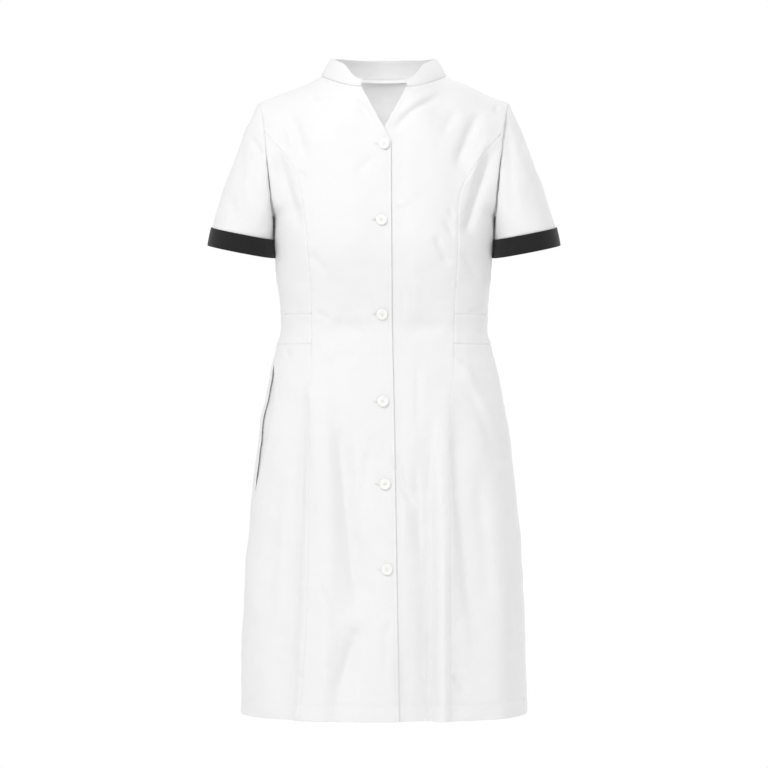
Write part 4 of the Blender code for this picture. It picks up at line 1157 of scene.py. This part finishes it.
class DRESS_OT_cuffs(bpy.types.Operator):
    """Make the folded band round the end of each sleeve"""

    bl_idname = "dress.cuffs"
    bl_label = "Cuffs"

    def execute(self, context):
        values = context.scene.dress_cuffs
        turn = np.linspace(0, 2 * math.pi, CUFF_POINTS, endpoint=False)
        for side, word in SIDES:
            top = cuff_ring(CUFF_TOP, turn, side)
            low = cuff_ring(CUFF_LOW, turn, side)
            height = np.linalg.norm(top - low, axis=1, keepdims=True)
            up = (top - low) / height
            ahead = np.roll(low, -1, axis=0) - np.roll(low, 1, axis=0)
            out = np.cross(up, ahead) * side
            out = out / np.linalg.norm(out, axis=1, keepdims=True)
            wave = sum(swing * np.sin(count * turn + start) for swing, count, start in CUFF_WAVES)
            deep = float(height.mean())
            rows = []
            for away, rise in cuff_section(deep, values.wall):
                swell = wave * math.sin(math.pi * min(max(rise / deep, 0), 1))
                rows.append(low + out * (away + swell)[:, None] + up * rise)
            rows = np.array(rows + rows[:1])
            name = f"cuff_{word}"
            mesh = grid_mesh(name + "_cloth", rows, ring=True)
            recalculated(mesh, merged=1e-6)
            mesh.materials.append(finish("Black cuff cloth"))
            cuff = add_object(name + "_cloth", mesh)
            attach(cuff, "root")
            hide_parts(name)
        return {"FINISHED"}


class DRESS_OT_collar(bpy.types.Operator):
    """Make the stand collar round the neck seam, sloping down to its two ends at the top of the V"""

    bl_idname = "dress.collar"
    bl_label = "Stand collar"

    def execute(self, context):
        base = neck_seam()
        run = np.concatenate([[0], np.cumsum(np.linalg.norm(np.diff(base, axis=0), axis=1))])
        from_end = np.minimum(run, run[-1] - run)
        height = COLLAR_END_HEIGHT + (COLLAR_HEIGHT - COLLAR_END_HEIGHT) * smooth(from_end / COLLAR_SLOPE_RUN)
        scale_x, scale_y = COLLAR_TOP_SCALE
        lean = height / COLLAR_HEIGHT
        top = base * np.stack([1 - (1 - scale_x) * lean, 1 - (1 - scale_y) * lean, 1 + 0 * lean], axis=-1)
        top[:, 2] += height
        base = base + (top - base) / np.linalg.norm(top - base, axis=1, keepdims=True) * COLLAR_LIFT
        away = base * np.array([1, 1, 0])
        away = away / np.linalg.norm(away, axis=1, keepdims=True)
        rows = []
        for share in shares(COLLAR_HEIGHT, COLLAR_STEP):
            bulge = COLLAR_BULGE * 4 * share * (1 - share)
            rows.append(base * (1 - share) + top * share + away * bulge * lean[:, None])
        points = np.array(rows)
        normals = -grid_normals(points)
        edges = {"low": "seam", "top": "collar", "first": "collar", "last": "collar"}
        points = dressed_grid(points, normals, edges)
        normals = -grid_normals(points)
        white = finish("White poplin")
        add_panel("stand_collar", points, normals, white, COLLAR_WALL, flip=True)
        return {"FINISHED"}


class DRESS_OT_tape(bpy.types.Operator):
    """Make the hanging tape across the inside of the back neck"""

    bl_idname = "dress.tape"
    bl_label = "Hanging tape"

    def execute(self, context):
        columns, rows = TAPE_POINTS
        across = np.linspace(-TAPE_HALF, TAPE_HALF, columns)
        z = np.linspace(TAPE_Z[0], TAPE_Z[1], rows)[:, None] + 0 * across
        x = across + 0 * z
        loose = 1 - (x / TAPE_HALF) ** 2
        seat, slack = TAPE_DEPTH
        inside = -seat - slack * loose
        level = np.full(x.shape, TAPE_Z[1])
        points = cloth(angle_at(x, level, "back"), level, inside)
        points[..., 2] = z - TAPE_SAG * loose
        add_panel("hanger_loop", points, grid_normals(points), finish("White tape"), TAPE_WALL, flip=True)
        return {"FINISHED"}


class DRESS_OT_pockets(bpy.types.Operator):
    """Make the pocket bags behind the side skirts, each folded at its inner end and open at the top"""

    bl_idname = "dress.pockets"
    bl_label = "Pocket bags"

    def execute(self, context):
        z = np.linspace(POCKET_LOW_Z, POCKET_TOP_Z, POCKET_ROWS)
        front_depth_in, back_depth_in = POCKET_DEPTHS
        for side, word, gape in POCKET_SIDES:
            seam = side_angle(z)
            mouth = seam - gape_angle(z, gape)
            width = POCKET_TOP_SHARE + (1 - POCKET_TOP_SHARE) * smooth((POCKET_TOP_Z - z) / POCKET_WIDENING)
            fold = seam - math.radians(POCKET_SPAN) * width
            lap = math.radians(POCKET_LAP)
            across = np.linspace(0, 1, POCKET_COLUMNS)
            columns = [(mouth * (1 - s) + fold * s, front_depth_in) for s in across[:-1]]
            columns += [(fold, (front_depth_in + back_depth_in) / 2)]
            columns += [(fold * (1 - s) + (seam + lap) * s, back_depth_in) for s in across[1:]]
            depths = [deep for _, deep in columns]
            turn_back = smooth((across - POCKET_TURN_START) / POCKET_TURN_WIDTH)
            for i, share in enumerate(turn_back[1:], len(across)):
                depths[i] = back_depth_in * (1 - share) + front_depth_in * share
            found = [cloth(side * angle, z, -deep) for (angle, _), deep in zip(columns, depths)]
            points = np.stack(found, axis=1)
            name = f"pocket_bag_{word}"
            normals = -grid_normals(points) * side
            add_panel(name, points, normals, finish("White poplin"), POCKET_WALL, flip=side > 0)
        return {"FINISHED"}


def line_in(name, edge, inset, low=-2.0, high=1.0):
    """Points and facings of a line on a panel, at a distance in from an edge and between two heights."""
    panel = panels[name]
    points, normals = panel.points, panel.normals
    if edge in ("low", "top"):
        points, normals = points.swapaxes(0, 1), normals.swapaxes(0, 1)
    if edge in ("top", "last"):
        points, normals = points[:, ::-1], normals[:, ::-1]
    run = arc_lengths(points, 1)
    line = np.empty((len(points), 3))
    facing = np.empty((len(points), 3))
    for i in range(len(points)):
        for axis in range(3):
            line[i, axis] = np.interp(inset, run[i], points[i, :, axis])
            facing[i, axis] = np.interp(inset, run[i], normals[i, :, axis])
    if panel.ring:
        line = np.vstack([line, line[:1]])
        facing = np.vstack([facing, facing[:1]])
    kept = (line[:, 2] >= low) & (line[:, 2] <= high)
    return line[kept], facing[kept]


# The links of the stitches' tree: from a node's output to a node's input
STITCH_LINKS = (
    ("given", "Paths", "curve", "Mesh"),
    ("curve", "Curve", "steps", "Curve"),
    ("given", "Pitch", "steps", "Length"),
    ("tangent", "Tangent", "along", "Vector"),
    ("along", "Rotation", "outward", "Rotation"),
    ("facing", "Attribute", "outward", "Vector"),
    ("thread", "Mesh", "rounded", "Geometry"),
    ("given", "Length", "size", "X"),
    ("given", "Width", "size", "Y"),
    ("given", "Height", "size", "Z"),
    ("rounded", "Geometry", "shaped", "Geometry"),
    ("size", "Vector", "shaped", "Scale"),
    ("given", "Seed", "uneven", "Seed"),
    ("steps", "Curve", "laid", "Points"),
    ("shaped", "Geometry", "laid", "Instance"),
    ("outward", "Rotation", "laid", "Rotation"),
    ("pull", "Vector", "laid", "Scale"),
    ("laid", "Instances", "real", "Geometry"),
    ("real", "Geometry", "coloured", "Geometry"),
    ("given", "Thread", "coloured", "Material"),
    ("coloured", "Geometry", "made", "Stitches"),
)
STITCH_UNEVEN = (0.86, 1.06)


def stitch_tree():
    """Lays one rounded thread on each step along the paths, turned along the path and facing out."""
    if "Stitches" in bpy.data.node_groups:
        return bpy.data.node_groups["Stitches"]
    tree = bpy.data.node_groups.new("Stitches", "GeometryNodeTree")
    face = tree.interface
    face.new_socket("Paths", in_out="INPUT", socket_type="NodeSocketGeometry")
    for name in ("Pitch", "Length", "Width", "Height"):
        face.new_socket(name, in_out="INPUT", socket_type="NodeSocketFloat").subtype = "DISTANCE"
    face.new_socket("Seed", in_out="INPUT", socket_type="NodeSocketInt").default_value = 7
    face.new_socket("Thread", in_out="INPUT", socket_type="NodeSocketMaterial")
    face.new_socket("Stitches", in_out="OUTPUT", socket_type="NodeSocketGeometry")
    nodes = tree.nodes
    part = {
        "given": nodes.new("NodeGroupInput"),
        "made": nodes.new("NodeGroupOutput"),
        "curve": nodes.new("GeometryNodeMeshToCurve"),
        "steps": add_node(nodes, "GeometryNodeResampleCurve", mode="LENGTH"),
        "tangent": nodes.new("GeometryNodeInputTangent"),
        "facing": add_node(
            nodes, "GeometryNodeInputNamedAttribute", {"Name": "facing"}, data_type="FLOAT_VECTOR"
        ),
        "along": add_node(nodes, "FunctionNodeAlignRotationToVector", axis="X"),
        "outward": add_node(nodes, "FunctionNodeAlignRotationToVector", axis="Z", pivot_axis="X"),
        "thread": add_node(nodes, "GeometryNodeMeshUVSphere", {"Segments": 6, "Rings": 3, "Radius": 0.5}),
        "rounded": nodes.new("GeometryNodeSetShadeSmooth"),
        "size": nodes.new("ShaderNodeCombineXYZ"),
        "shaped": nodes.new("GeometryNodeTransform"),
        "uneven": add_node(nodes, "FunctionNodeRandomValue", data_type="FLOAT"),
        "pull": add_node(nodes, "ShaderNodeCombineXYZ", {"Y": 1, "Z": 1}),
        "laid": nodes.new("GeometryNodeInstanceOnPoints"),
        "real": nodes.new("GeometryNodeRealizeInstances"),
        "coloured": nodes.new("GeometryNodeSetMaterial"),
    }
    for source, output, target, socket in STITCH_LINKS:
        tree.links.new(part[source].outputs[output], part[target].inputs[socket])
    floats = [socket for socket in part["uneven"].inputs if socket.type == "VALUE"]
    for socket, share in zip(floats, STITCH_UNEVEN):
        socket.default_value = share
    drawn = [socket for socket in part["uneven"].outputs if socket.type == "VALUE"]
    tree.links.new(drawn[0], part["pull"].inputs["X"])
    return tree


def sew(name, lines, pitch, length, width, height, seed=7):
    """Stitches along lines of points and facings, made by the tree and turned into one plain mesh."""
    points, facings, edges = [], [], []
    for line, facing in lines:
        start = len(points)
        points += line.tolist()
        facings += facing.tolist()
        edges += [(start + i, start + i + 1) for i in range(len(line) - 1)]
    path = bpy.data.meshes.new(name + "_path")
    path.from_pydata(points, edges, [])
    stored = path.attributes.new("facing", "FLOAT_VECTOR", "POINT")
    stored.data.foreach_set("vector", np.array(facings, np.float32).ravel())
    carrier = add_object(name + "_path", path)
    tree = stitch_tree()
    modifier = carrier.modifiers.new("Stitches", "NODES")
    modifier.node_group = tree
    given = {"Pitch": pitch, "Length": length, "Width": width, "Height": height}
    given |= {"Seed": seed, "Thread": finish("White thread")}
    for socket in tree.interface.items_tree:
        if socket.in_out == "INPUT" and socket.name in given:
            modifier[socket.identifier] = given[socket.name]
    graph = bpy.context.evaluated_depsgraph_get()
    mesh = bpy.data.meshes.new_from_object(carrier.evaluated_get(graph))
    carrier.modifiers.remove(modifier)
    bpy.data.objects.remove(carrier, do_unlink=True)
    mesh.name = name
    mesh.materials.clear()
    mesh.materials.append(finish("White thread"))
    piece = add_object(name, mesh)
    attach(piece, "root")


def raised(lines, out):
    """Lines moved out along their facings."""
    return [(line + facing * out, facing) for line, facing in lines]


class DRESS_OT_sewing(bpy.types.Operator):
    """Sew the topstitching, hem, cuffs and buttonholes"""

    bl_idname = "dress.sewing"
    bl_label = "Sewing"

    def execute(self, context):
        values = context.scene.dress_sewing
        up = context.scene.dress_cloth.wall / 2 + STITCH_LIFT
        stitch = {"pitch": values.pitch, "length": values.length, "width": values.thread}
        stitch["height"] = values.thread * STITCH_FLATNESS
        lap = [line_in("front_right", "first", values.inset, HEM_Z, LAP_TOP_Z)]
        sew("stitches_lap", raised(lap, up), **stitch)
        neck = [line_in("front_right", "first", values.inset, LAP_TOP_Z)]
        neck += [line_in("front_left", "first", values.inset, UNDER_STITCH_LOW_Z)]
        neck += [line_in("stand_collar", "top", COLLAR_TOP_INSET)]
        neck += [line_in("stand_collar", "low", COLLAR_LOW_INSET)]
        sew("stitches_neck", raised(neck, up + NECK_STITCH_LIFT), **stitch)
        hemmed = ("front_right", "front_left", "side_skirt_right", "side_skirt_left", "back_skirt")
        hem = [line_in(name, "low", values.hem) for name in hemmed]
        sew("stitches_hem", raised(hem, up), **stitch)
        waist = []
        for name in ("waist_inset_right", "waist_inset_left", "back_waistband"):
            waist += [line_in(name, "low", WAIST_INSET), line_in(name, "top", WAIST_INSET)]
        for name in ("side_skirt_right", "side_skirt_left"):
            waist += [line_in(name, "last", POCKET_INSET, POCKET_LOW_Z, POCKET_TOP_Z)]
        sew("stitches_waist", raised(waist, up), **stitch)
        sleeve_ends = []
        for name in ("sleeve_right", "sleeve_left"):
            panel = panels[name]
            panels["end"] = Panel(panel.points[: ends[name] + 1], panel.normals[: ends[name] + 1], True)
            sleeve_ends.append(line_in("end", "top", SLEEVE_END_INSET))
        sew("stitches_sleeves", raised(sleeve_ends, up), **stitch)
        self.buttonholes(values)
        return {"FINISHED"}

    def buttonholes(self, values):
        """Close stitching round each buttonhole, mostly on the wearer's right of its button."""
        lines = []
        turns = np.linspace(0, 2 * math.pi, BUTTONHOLE_POINTS)
        half = values.buttonhole / 2 - BUTTONHOLE_HALF_WIDTH
        for button in BUTTONS:
            across = np.sign(np.round(np.cos(turns), 6)) * half + np.cos(turns) * BUTTONHOLE_HALF_WIDTH
            x = button.x * CM - BUTTONHOLE_SHIFT + across
            z = button.z * CM + np.sin(turns) * BUTTONHOLE_HALF_WIDTH
            angle = angle_at(x, z, "front")
            out = bpy.context.scene.dress_cloth.wall / 2 + BUTTONHOLE_LIFT
            lines.append((cloth(angle, z, out), body_normal(angle, z)))
        sew("buttonholes", lines, **BUTTONHOLE_STITCH, seed=11)


# Half section of a button, in shares of its radius and height: a shallow dish inside a rounded rim
BUTTON_DISH = 0.84
BUTTON_SECTION = (
    (0.0, BUTTON_DISH),
    (0.36, BUTTON_DISH),
    (0.50, 0.86),
    (0.62, 0.93),
    (0.72, 0.985),
    (0.80, 1.0),
    (0.90, 0.93),
    (0.975, 0.76),
    (1.0, 0.52),
    (0.985, 0.30),
    (0.93, 0.10),
    (0.84, 0.0),
    (0.0, 0.0),
)
BUTTON_STEPS = 48
HOLE_CIRCLE = 0.2
HOLE_RADIUS = 0.07
THREADS_BESIDE = (-0.35 * MM, 0.0, 0.35 * MM)
THREAD_SINK = 0.3 * MM
THREAD_ARCH = 0.55 * MM
THREAD_RADIUS = 0.2 * MM
SHANK_TOP = 0.2 * MM
SHANK_LOW = -1.1 * MM
SHANK_RADIUS = 1.1 * MM


def turned_mesh(name, section, steps):
    """A turned shape from a half section that starts and ends on its axis."""
    shape = bmesh.new()
    rings = []
    for away, rise in section:
        if away == 0:
            rings.append([shape.verts.new((0, 0, rise))])
            continue
        angles = [2 * math.pi * i / steps for i in range(steps)]
        rings.append([shape.verts.new((away * math.cos(a), away * math.sin(a), rise)) for a in angles])
    for first, second in zip(rings, rings[1:]):
        for i in range(steps):
            corners = [first[i % len(first)], first[(i + 1) % len(first)]]
            corners += [second[(i + 1) % len(second)], second[i % len(second)]]
            shape.faces.new(list(dict.fromkeys(corners)))
    bmesh.ops.recalc_face_normals(shape, faces=shape.faces)
    mesh = bpy.data.meshes.new(name)
    shape.to_mesh(mesh)
    shape.free()
    return mesh


def button_mesh(name, radius, height):
    """A turned button with its four holes cut through."""
    section = [(radius * away, height * rise) for away, rise in BUTTON_SECTION]
    solid = add_object(name + "_solid", turned_mesh(name, section, BUTTON_STEPS))
    drills = bmesh.new()
    size = {"cap_ends": True, "segments": 12, "depth": height * 2}
    size |= {"radius1": radius * HOLE_RADIUS, "radius2": radius * HOLE_RADIUS}
    away = radius * HOLE_CIRCLE
    for turn in range(4):
        angle = math.pi / 4 + turn * math.pi / 2
        place = Matrix.Translation((away * math.cos(angle), away * math.sin(angle), height / 2))
        bmesh.ops.create_cone(drills, matrix=place, **size)
    drill_mesh = bpy.data.meshes.new(name + "_holes")
    drills.to_mesh(drill_mesh)
    drills.free()
    drill = add_object(name + "_holes", drill_mesh)
    cut = solid.modifiers.new("Holes", "BOOLEAN")
    cut.object = drill
    cut.solver = "EXACT"
    graph = bpy.context.evaluated_depsgraph_get()
    mesh = bpy.data.meshes.new_from_object(solid.evaluated_get(graph))
    for used in (solid, drill):
        bpy.data.objects.remove(used, do_unlink=True)
    return mesh


def thread_between(start, end, arch, radius, steps=8, sides=7):
    """Points and faces of one thread from hole to hole, arched over the face of a button."""
    start, end = Vector(start), Vector(end)
    way = (end - start).normalized()
    side = way.cross(Vector((0, 0, 1)))
    points, faces = [], []
    for i in range(steps + 1):
        share = i / steps
        middle = start.lerp(end, share) + Vector((0, 0, arch * math.sin(math.pi * share) ** 0.5))
        for j in range(sides):
            angle = 2 * math.pi * j / sides
            points.append(middle + side * radius * math.cos(angle) + Vector((0, 0, radius * math.sin(angle))))
        if i:
            ring = (i - 1) * sides
            for j in range(sides):
                beside = (j + 1) % sides
                faces.append((ring + j, ring + beside, ring + sides + beside, ring + sides + j))
    return points, faces + [tuple(range(sides))[::-1], tuple(range(steps * sides, (steps + 1) * sides))]


def button_thread_mesh(name, radius, height):
    """Two pairs of threads through the holes of a button, and the shank that it stands on."""
    reach_out = radius * HOLE_CIRCLE * math.cos(math.pi / 4)
    low = height * BUTTON_DISH - THREAD_SINK
    threads = []
    for line in (-1, 1):
        for beside in THREADS_BESIDE:
            y = line * reach_out + beside
            threads.append(thread_between((-reach_out, y, low), (reach_out, y, low), THREAD_ARCH, THREAD_RADIUS))
    threads.append(thread_between((0, 0, SHANK_TOP), (1e-5, 0, SHANK_LOW), 0, SHANK_RADIUS, steps=3, sides=12))
    points, faces = [], []
    for more, walls in threads:
        faces += [tuple(index + len(points) for index in wall) for wall in walls]
        points += more
    mesh = bpy.data.meshes.new(name)
    mesh.from_pydata([tuple(point) for point in points], [], faces)
    recalculated(mesh)
    mesh.shade_smooth()
    return mesh


class DRESS_OT_buttons(bpy.types.Operator):
    """Make the six buttons and the thread that holds them"""

    bl_idname = "dress.buttons"
    bl_label = "Buttons"

    def execute(self, context):
        values = context.scene.dress_buttons
        wall = context.scene.dress_cloth.wall
        plain = button_mesh("button", values.radius, values.height)
        thread = button_thread_mesh("button_thread", values.radius, values.height)
        for number, place in enumerate(BUTTONS, 1):
            x = np.array([place.x * CM])
            z = np.array([place.z * CM])
            angle = angle_at(x, z, "front")
            seat = cloth(angle, z, wall / 2 + BUTTON_SHANK)[0]
            facing = Vector(body_normal(angle, z)[0])
            turn = facing.to_track_quat("Z", "Y").to_matrix().to_4x4()
            stand = Matrix.Translation(Vector(seat)) @ turn @ Matrix.Rotation(math.radians(place.turn), 4, "Z")
            for source, name, material, slot in (
                (plain, f"button_{number}_turned", "White button", "white_button"),
                (thread, f"button_{number}_thread", "White thread", "white_cloth"),
            ):
                mesh = source.copy()
                mesh.name = name
                mesh.transform(stand)
                mesh.materials.clear()
                mesh.materials.append(finish(material))
                piece = add_object(name, mesh)
                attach(piece, "root")
                if source is plain:
                    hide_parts(f"button_{number}")
                    mesh.shade_smooth()
                    mesh.set_sharp_from_angle(angle=SHARP_CORNER)
        return {"FINISHED"}


# The lights: where they stand, the point that they are aimed at and how wide they are, in metres
Light = namedtuple("Light", "name kind place target size")
LIGHTS = {
    "key": Light("key_light", "AREA", (-1.8, -3.5, 2.3), (0, 0, -0.4), 1.0),
    "fill": Light("fill_light", "AREA", (2.6, -3.2, 0.3), (0, 0, -0.5), 1.4),
    "back": Light("back_light", "AREA", (2.4, 3.2, 2.0), (0, 0, -0.5), 1.0),
    "inner": Light("light_in_dress", "AREA", (0, -0.01, -0.135), (0, 0.08, -0.005), 0.06),
    "neck": Light("neck_light", "SPOT", (-0.3, -2.2, 0.45), (0, 0.06, -0.03), 0.12),
}
BEAM = math.radians(12)
BEAM_BLEND = 0.9
FLOOR_HALF = 2.5
SENSOR = 36


def add_light(light, power):
    """A square soft light or a soft beam, turned towards its target."""
    data = bpy.data.lights.new(light.name, light.kind)
    data.energy = power
    if light.kind == "AREA":
        data.shape = "SQUARE"
        data.size = light.size
    else:
        data.spot_size = BEAM
        data.spot_blend = BEAM_BLEND
        data.shadow_soft_size = light.size
    lamp = add_object(light.name, data)
    lamp.location = light.place
    lamp.rotation_euler = (Vector(light.target) - lamp.location).to_track_quat("-Z", "Y").to_euler()


def white_surroundings(front, behind):
    """White all round, brighter on the cloth from behind than from in front, and plain white to the camera."""
    world = bpy.data.worlds.new("White surroundings")
    world.use_nodes = True
    nodes, links = world.node_tree.nodes, world.node_tree.links
    white = {"Color": (1, 1, 1, 1)}
    lit = nodes["Background"]
    lit.inputs["Color"].default_value = white["Color"]
    turned = nodes.new("ShaderNodeTexCoord")
    parts = nodes.new("ShaderNodeSeparateXYZ")
    strength = add_node(nodes, "ShaderNodeMapRange", {"From Min": -1, "To Min": front, "To Max": behind})
    seen = add_node(nodes, "ShaderNodeBackground", white)
    path = nodes.new("ShaderNodeLightPath")
    both = nodes.new("ShaderNodeMixShader")
    links.new(turned.outputs["Generated"], parts.inputs["Vector"])
    links.new(parts.outputs["Y"], strength.inputs["Value"])
    links.new(strength.outputs["Result"], lit.inputs["Strength"])
    links.new(path.outputs["Is Camera Ray"], both.inputs["Fac"])
    links.new(lit.outputs["Background"], both.inputs[1])
    links.new(seen.outputs["Background"], both.inputs[2])
    links.new(both.outputs["Shader"], nodes["World Output"].inputs["Surface"])
    return world


class DRESS_OT_stage(bpy.types.Operator):
    """Set the floor, the light and the camera"""

    bl_idname = "dress.stage"
    bl_label = "Stage"

    def execute(self, context):
        scene = context.scene
        values = scene.dress_stage
        floor_mesh = bpy.data.meshes.new("floor")
        half, level = FLOOR_HALF, values.floor
        corners = [(-half, -half, level), (half, -half, level), (half, half, level), (-half, half, level)]
        floor_mesh.from_pydata(corners, [], [(0, 1, 2, 3)])
        floor_mesh.materials.append(finish("Pale floor"))
        floor = add_object("floor", floor_mesh)
        scene.world = white_surroundings(values.sky, values.behind)
        scene.view_settings.view_transform = "Standard"
        scene.view_settings.look = "None"
        for name, light in LIGHTS.items():
            add_light(light, getattr(values, name))
        lens = bpy.data.cameras.new("camera")
        lens.sensor_width = SENSOR
        lens.lens = SENSOR * values.distance / values.width
        camera = add_object("camera", lens)
        camera.location = (0, -values.distance, VIEW_Z)
        camera.rotation_euler = (math.pi / 2, 0, 0)
        scene.camera = camera
        return {"FINISHED"}


class DRESS_PT_dress(bpy.types.Panel):
    """The dress's sizes and colours, and the steps that make it"""

    bl_label = "Uniform dress"
    bl_idname = "DRESS_PT_dress"
    bl_space_type = "VIEW_3D"
    bl_region_type = "UI"
    bl_category = "Uniform dress"

    def draw(self, context):
        for name, group in GROUPS.items():
            box = self.layout.box()
            for prop in group.__annotations__:
                box.prop(getattr(context.scene, name), prop)
        for step in STEPS:
            self.layout.operator(step.bl_idname)


GROUPS = {
    "dress_cloth": DressCloth,
    "dress_cuffs": DressCuffs,
    "dress_sewing": DressSewing,
    "dress_buttons": DressButtons,
    "dress_stage": DressStage,
}
STEPS = (
    DRESS_OT_fronts,
    DRESS_OT_side_fronts,
    DRESS_OT_backs,
    DRESS_OT_sleeves,
    DRESS_OT_cuffs,
    DRESS_OT_collar,
    DRESS_OT_tape,
    DRESS_OT_pockets,
    DRESS_OT_sewing,
    DRESS_OT_buttons,
    DRESS_OT_stage,
)


def register():
    """Registers the add-on's classes."""
    for cls in (*GROUPS.values(), *STEPS, DRESS_PT_dress):
        bpy.utils.register_class(cls)
    for name, group in GROUPS.items():
        setattr(bpy.types.Scene, name, bpy.props.PointerProperty(type=group))


def unregister():
    """Removes the add-on's classes."""
    for name in GROUPS:
        delattr(bpy.types.Scene, name)
    for cls in reversed((*GROUPS.values(), *STEPS, DRESS_PT_dress)):
        bpy.utils.unregister_class(cls)


def main():
    """Makes the whole dress in order."""
    register()
    bpy.ops.dress.fronts()
    bpy.ops.dress.side_fronts()
    bpy.ops.dress.backs()
    bpy.ops.dress.sleeves()
    bpy.ops.dress.cuffs()
    bpy.ops.dress.tape()
    bpy.ops.dress.collar()
    bpy.ops.dress.pockets()
    bpy.ops.dress.sewing()
    bpy.ops.dress.buttons()
    bpy.ops.dress.stage()


if __name__ == "__main__":
    main()
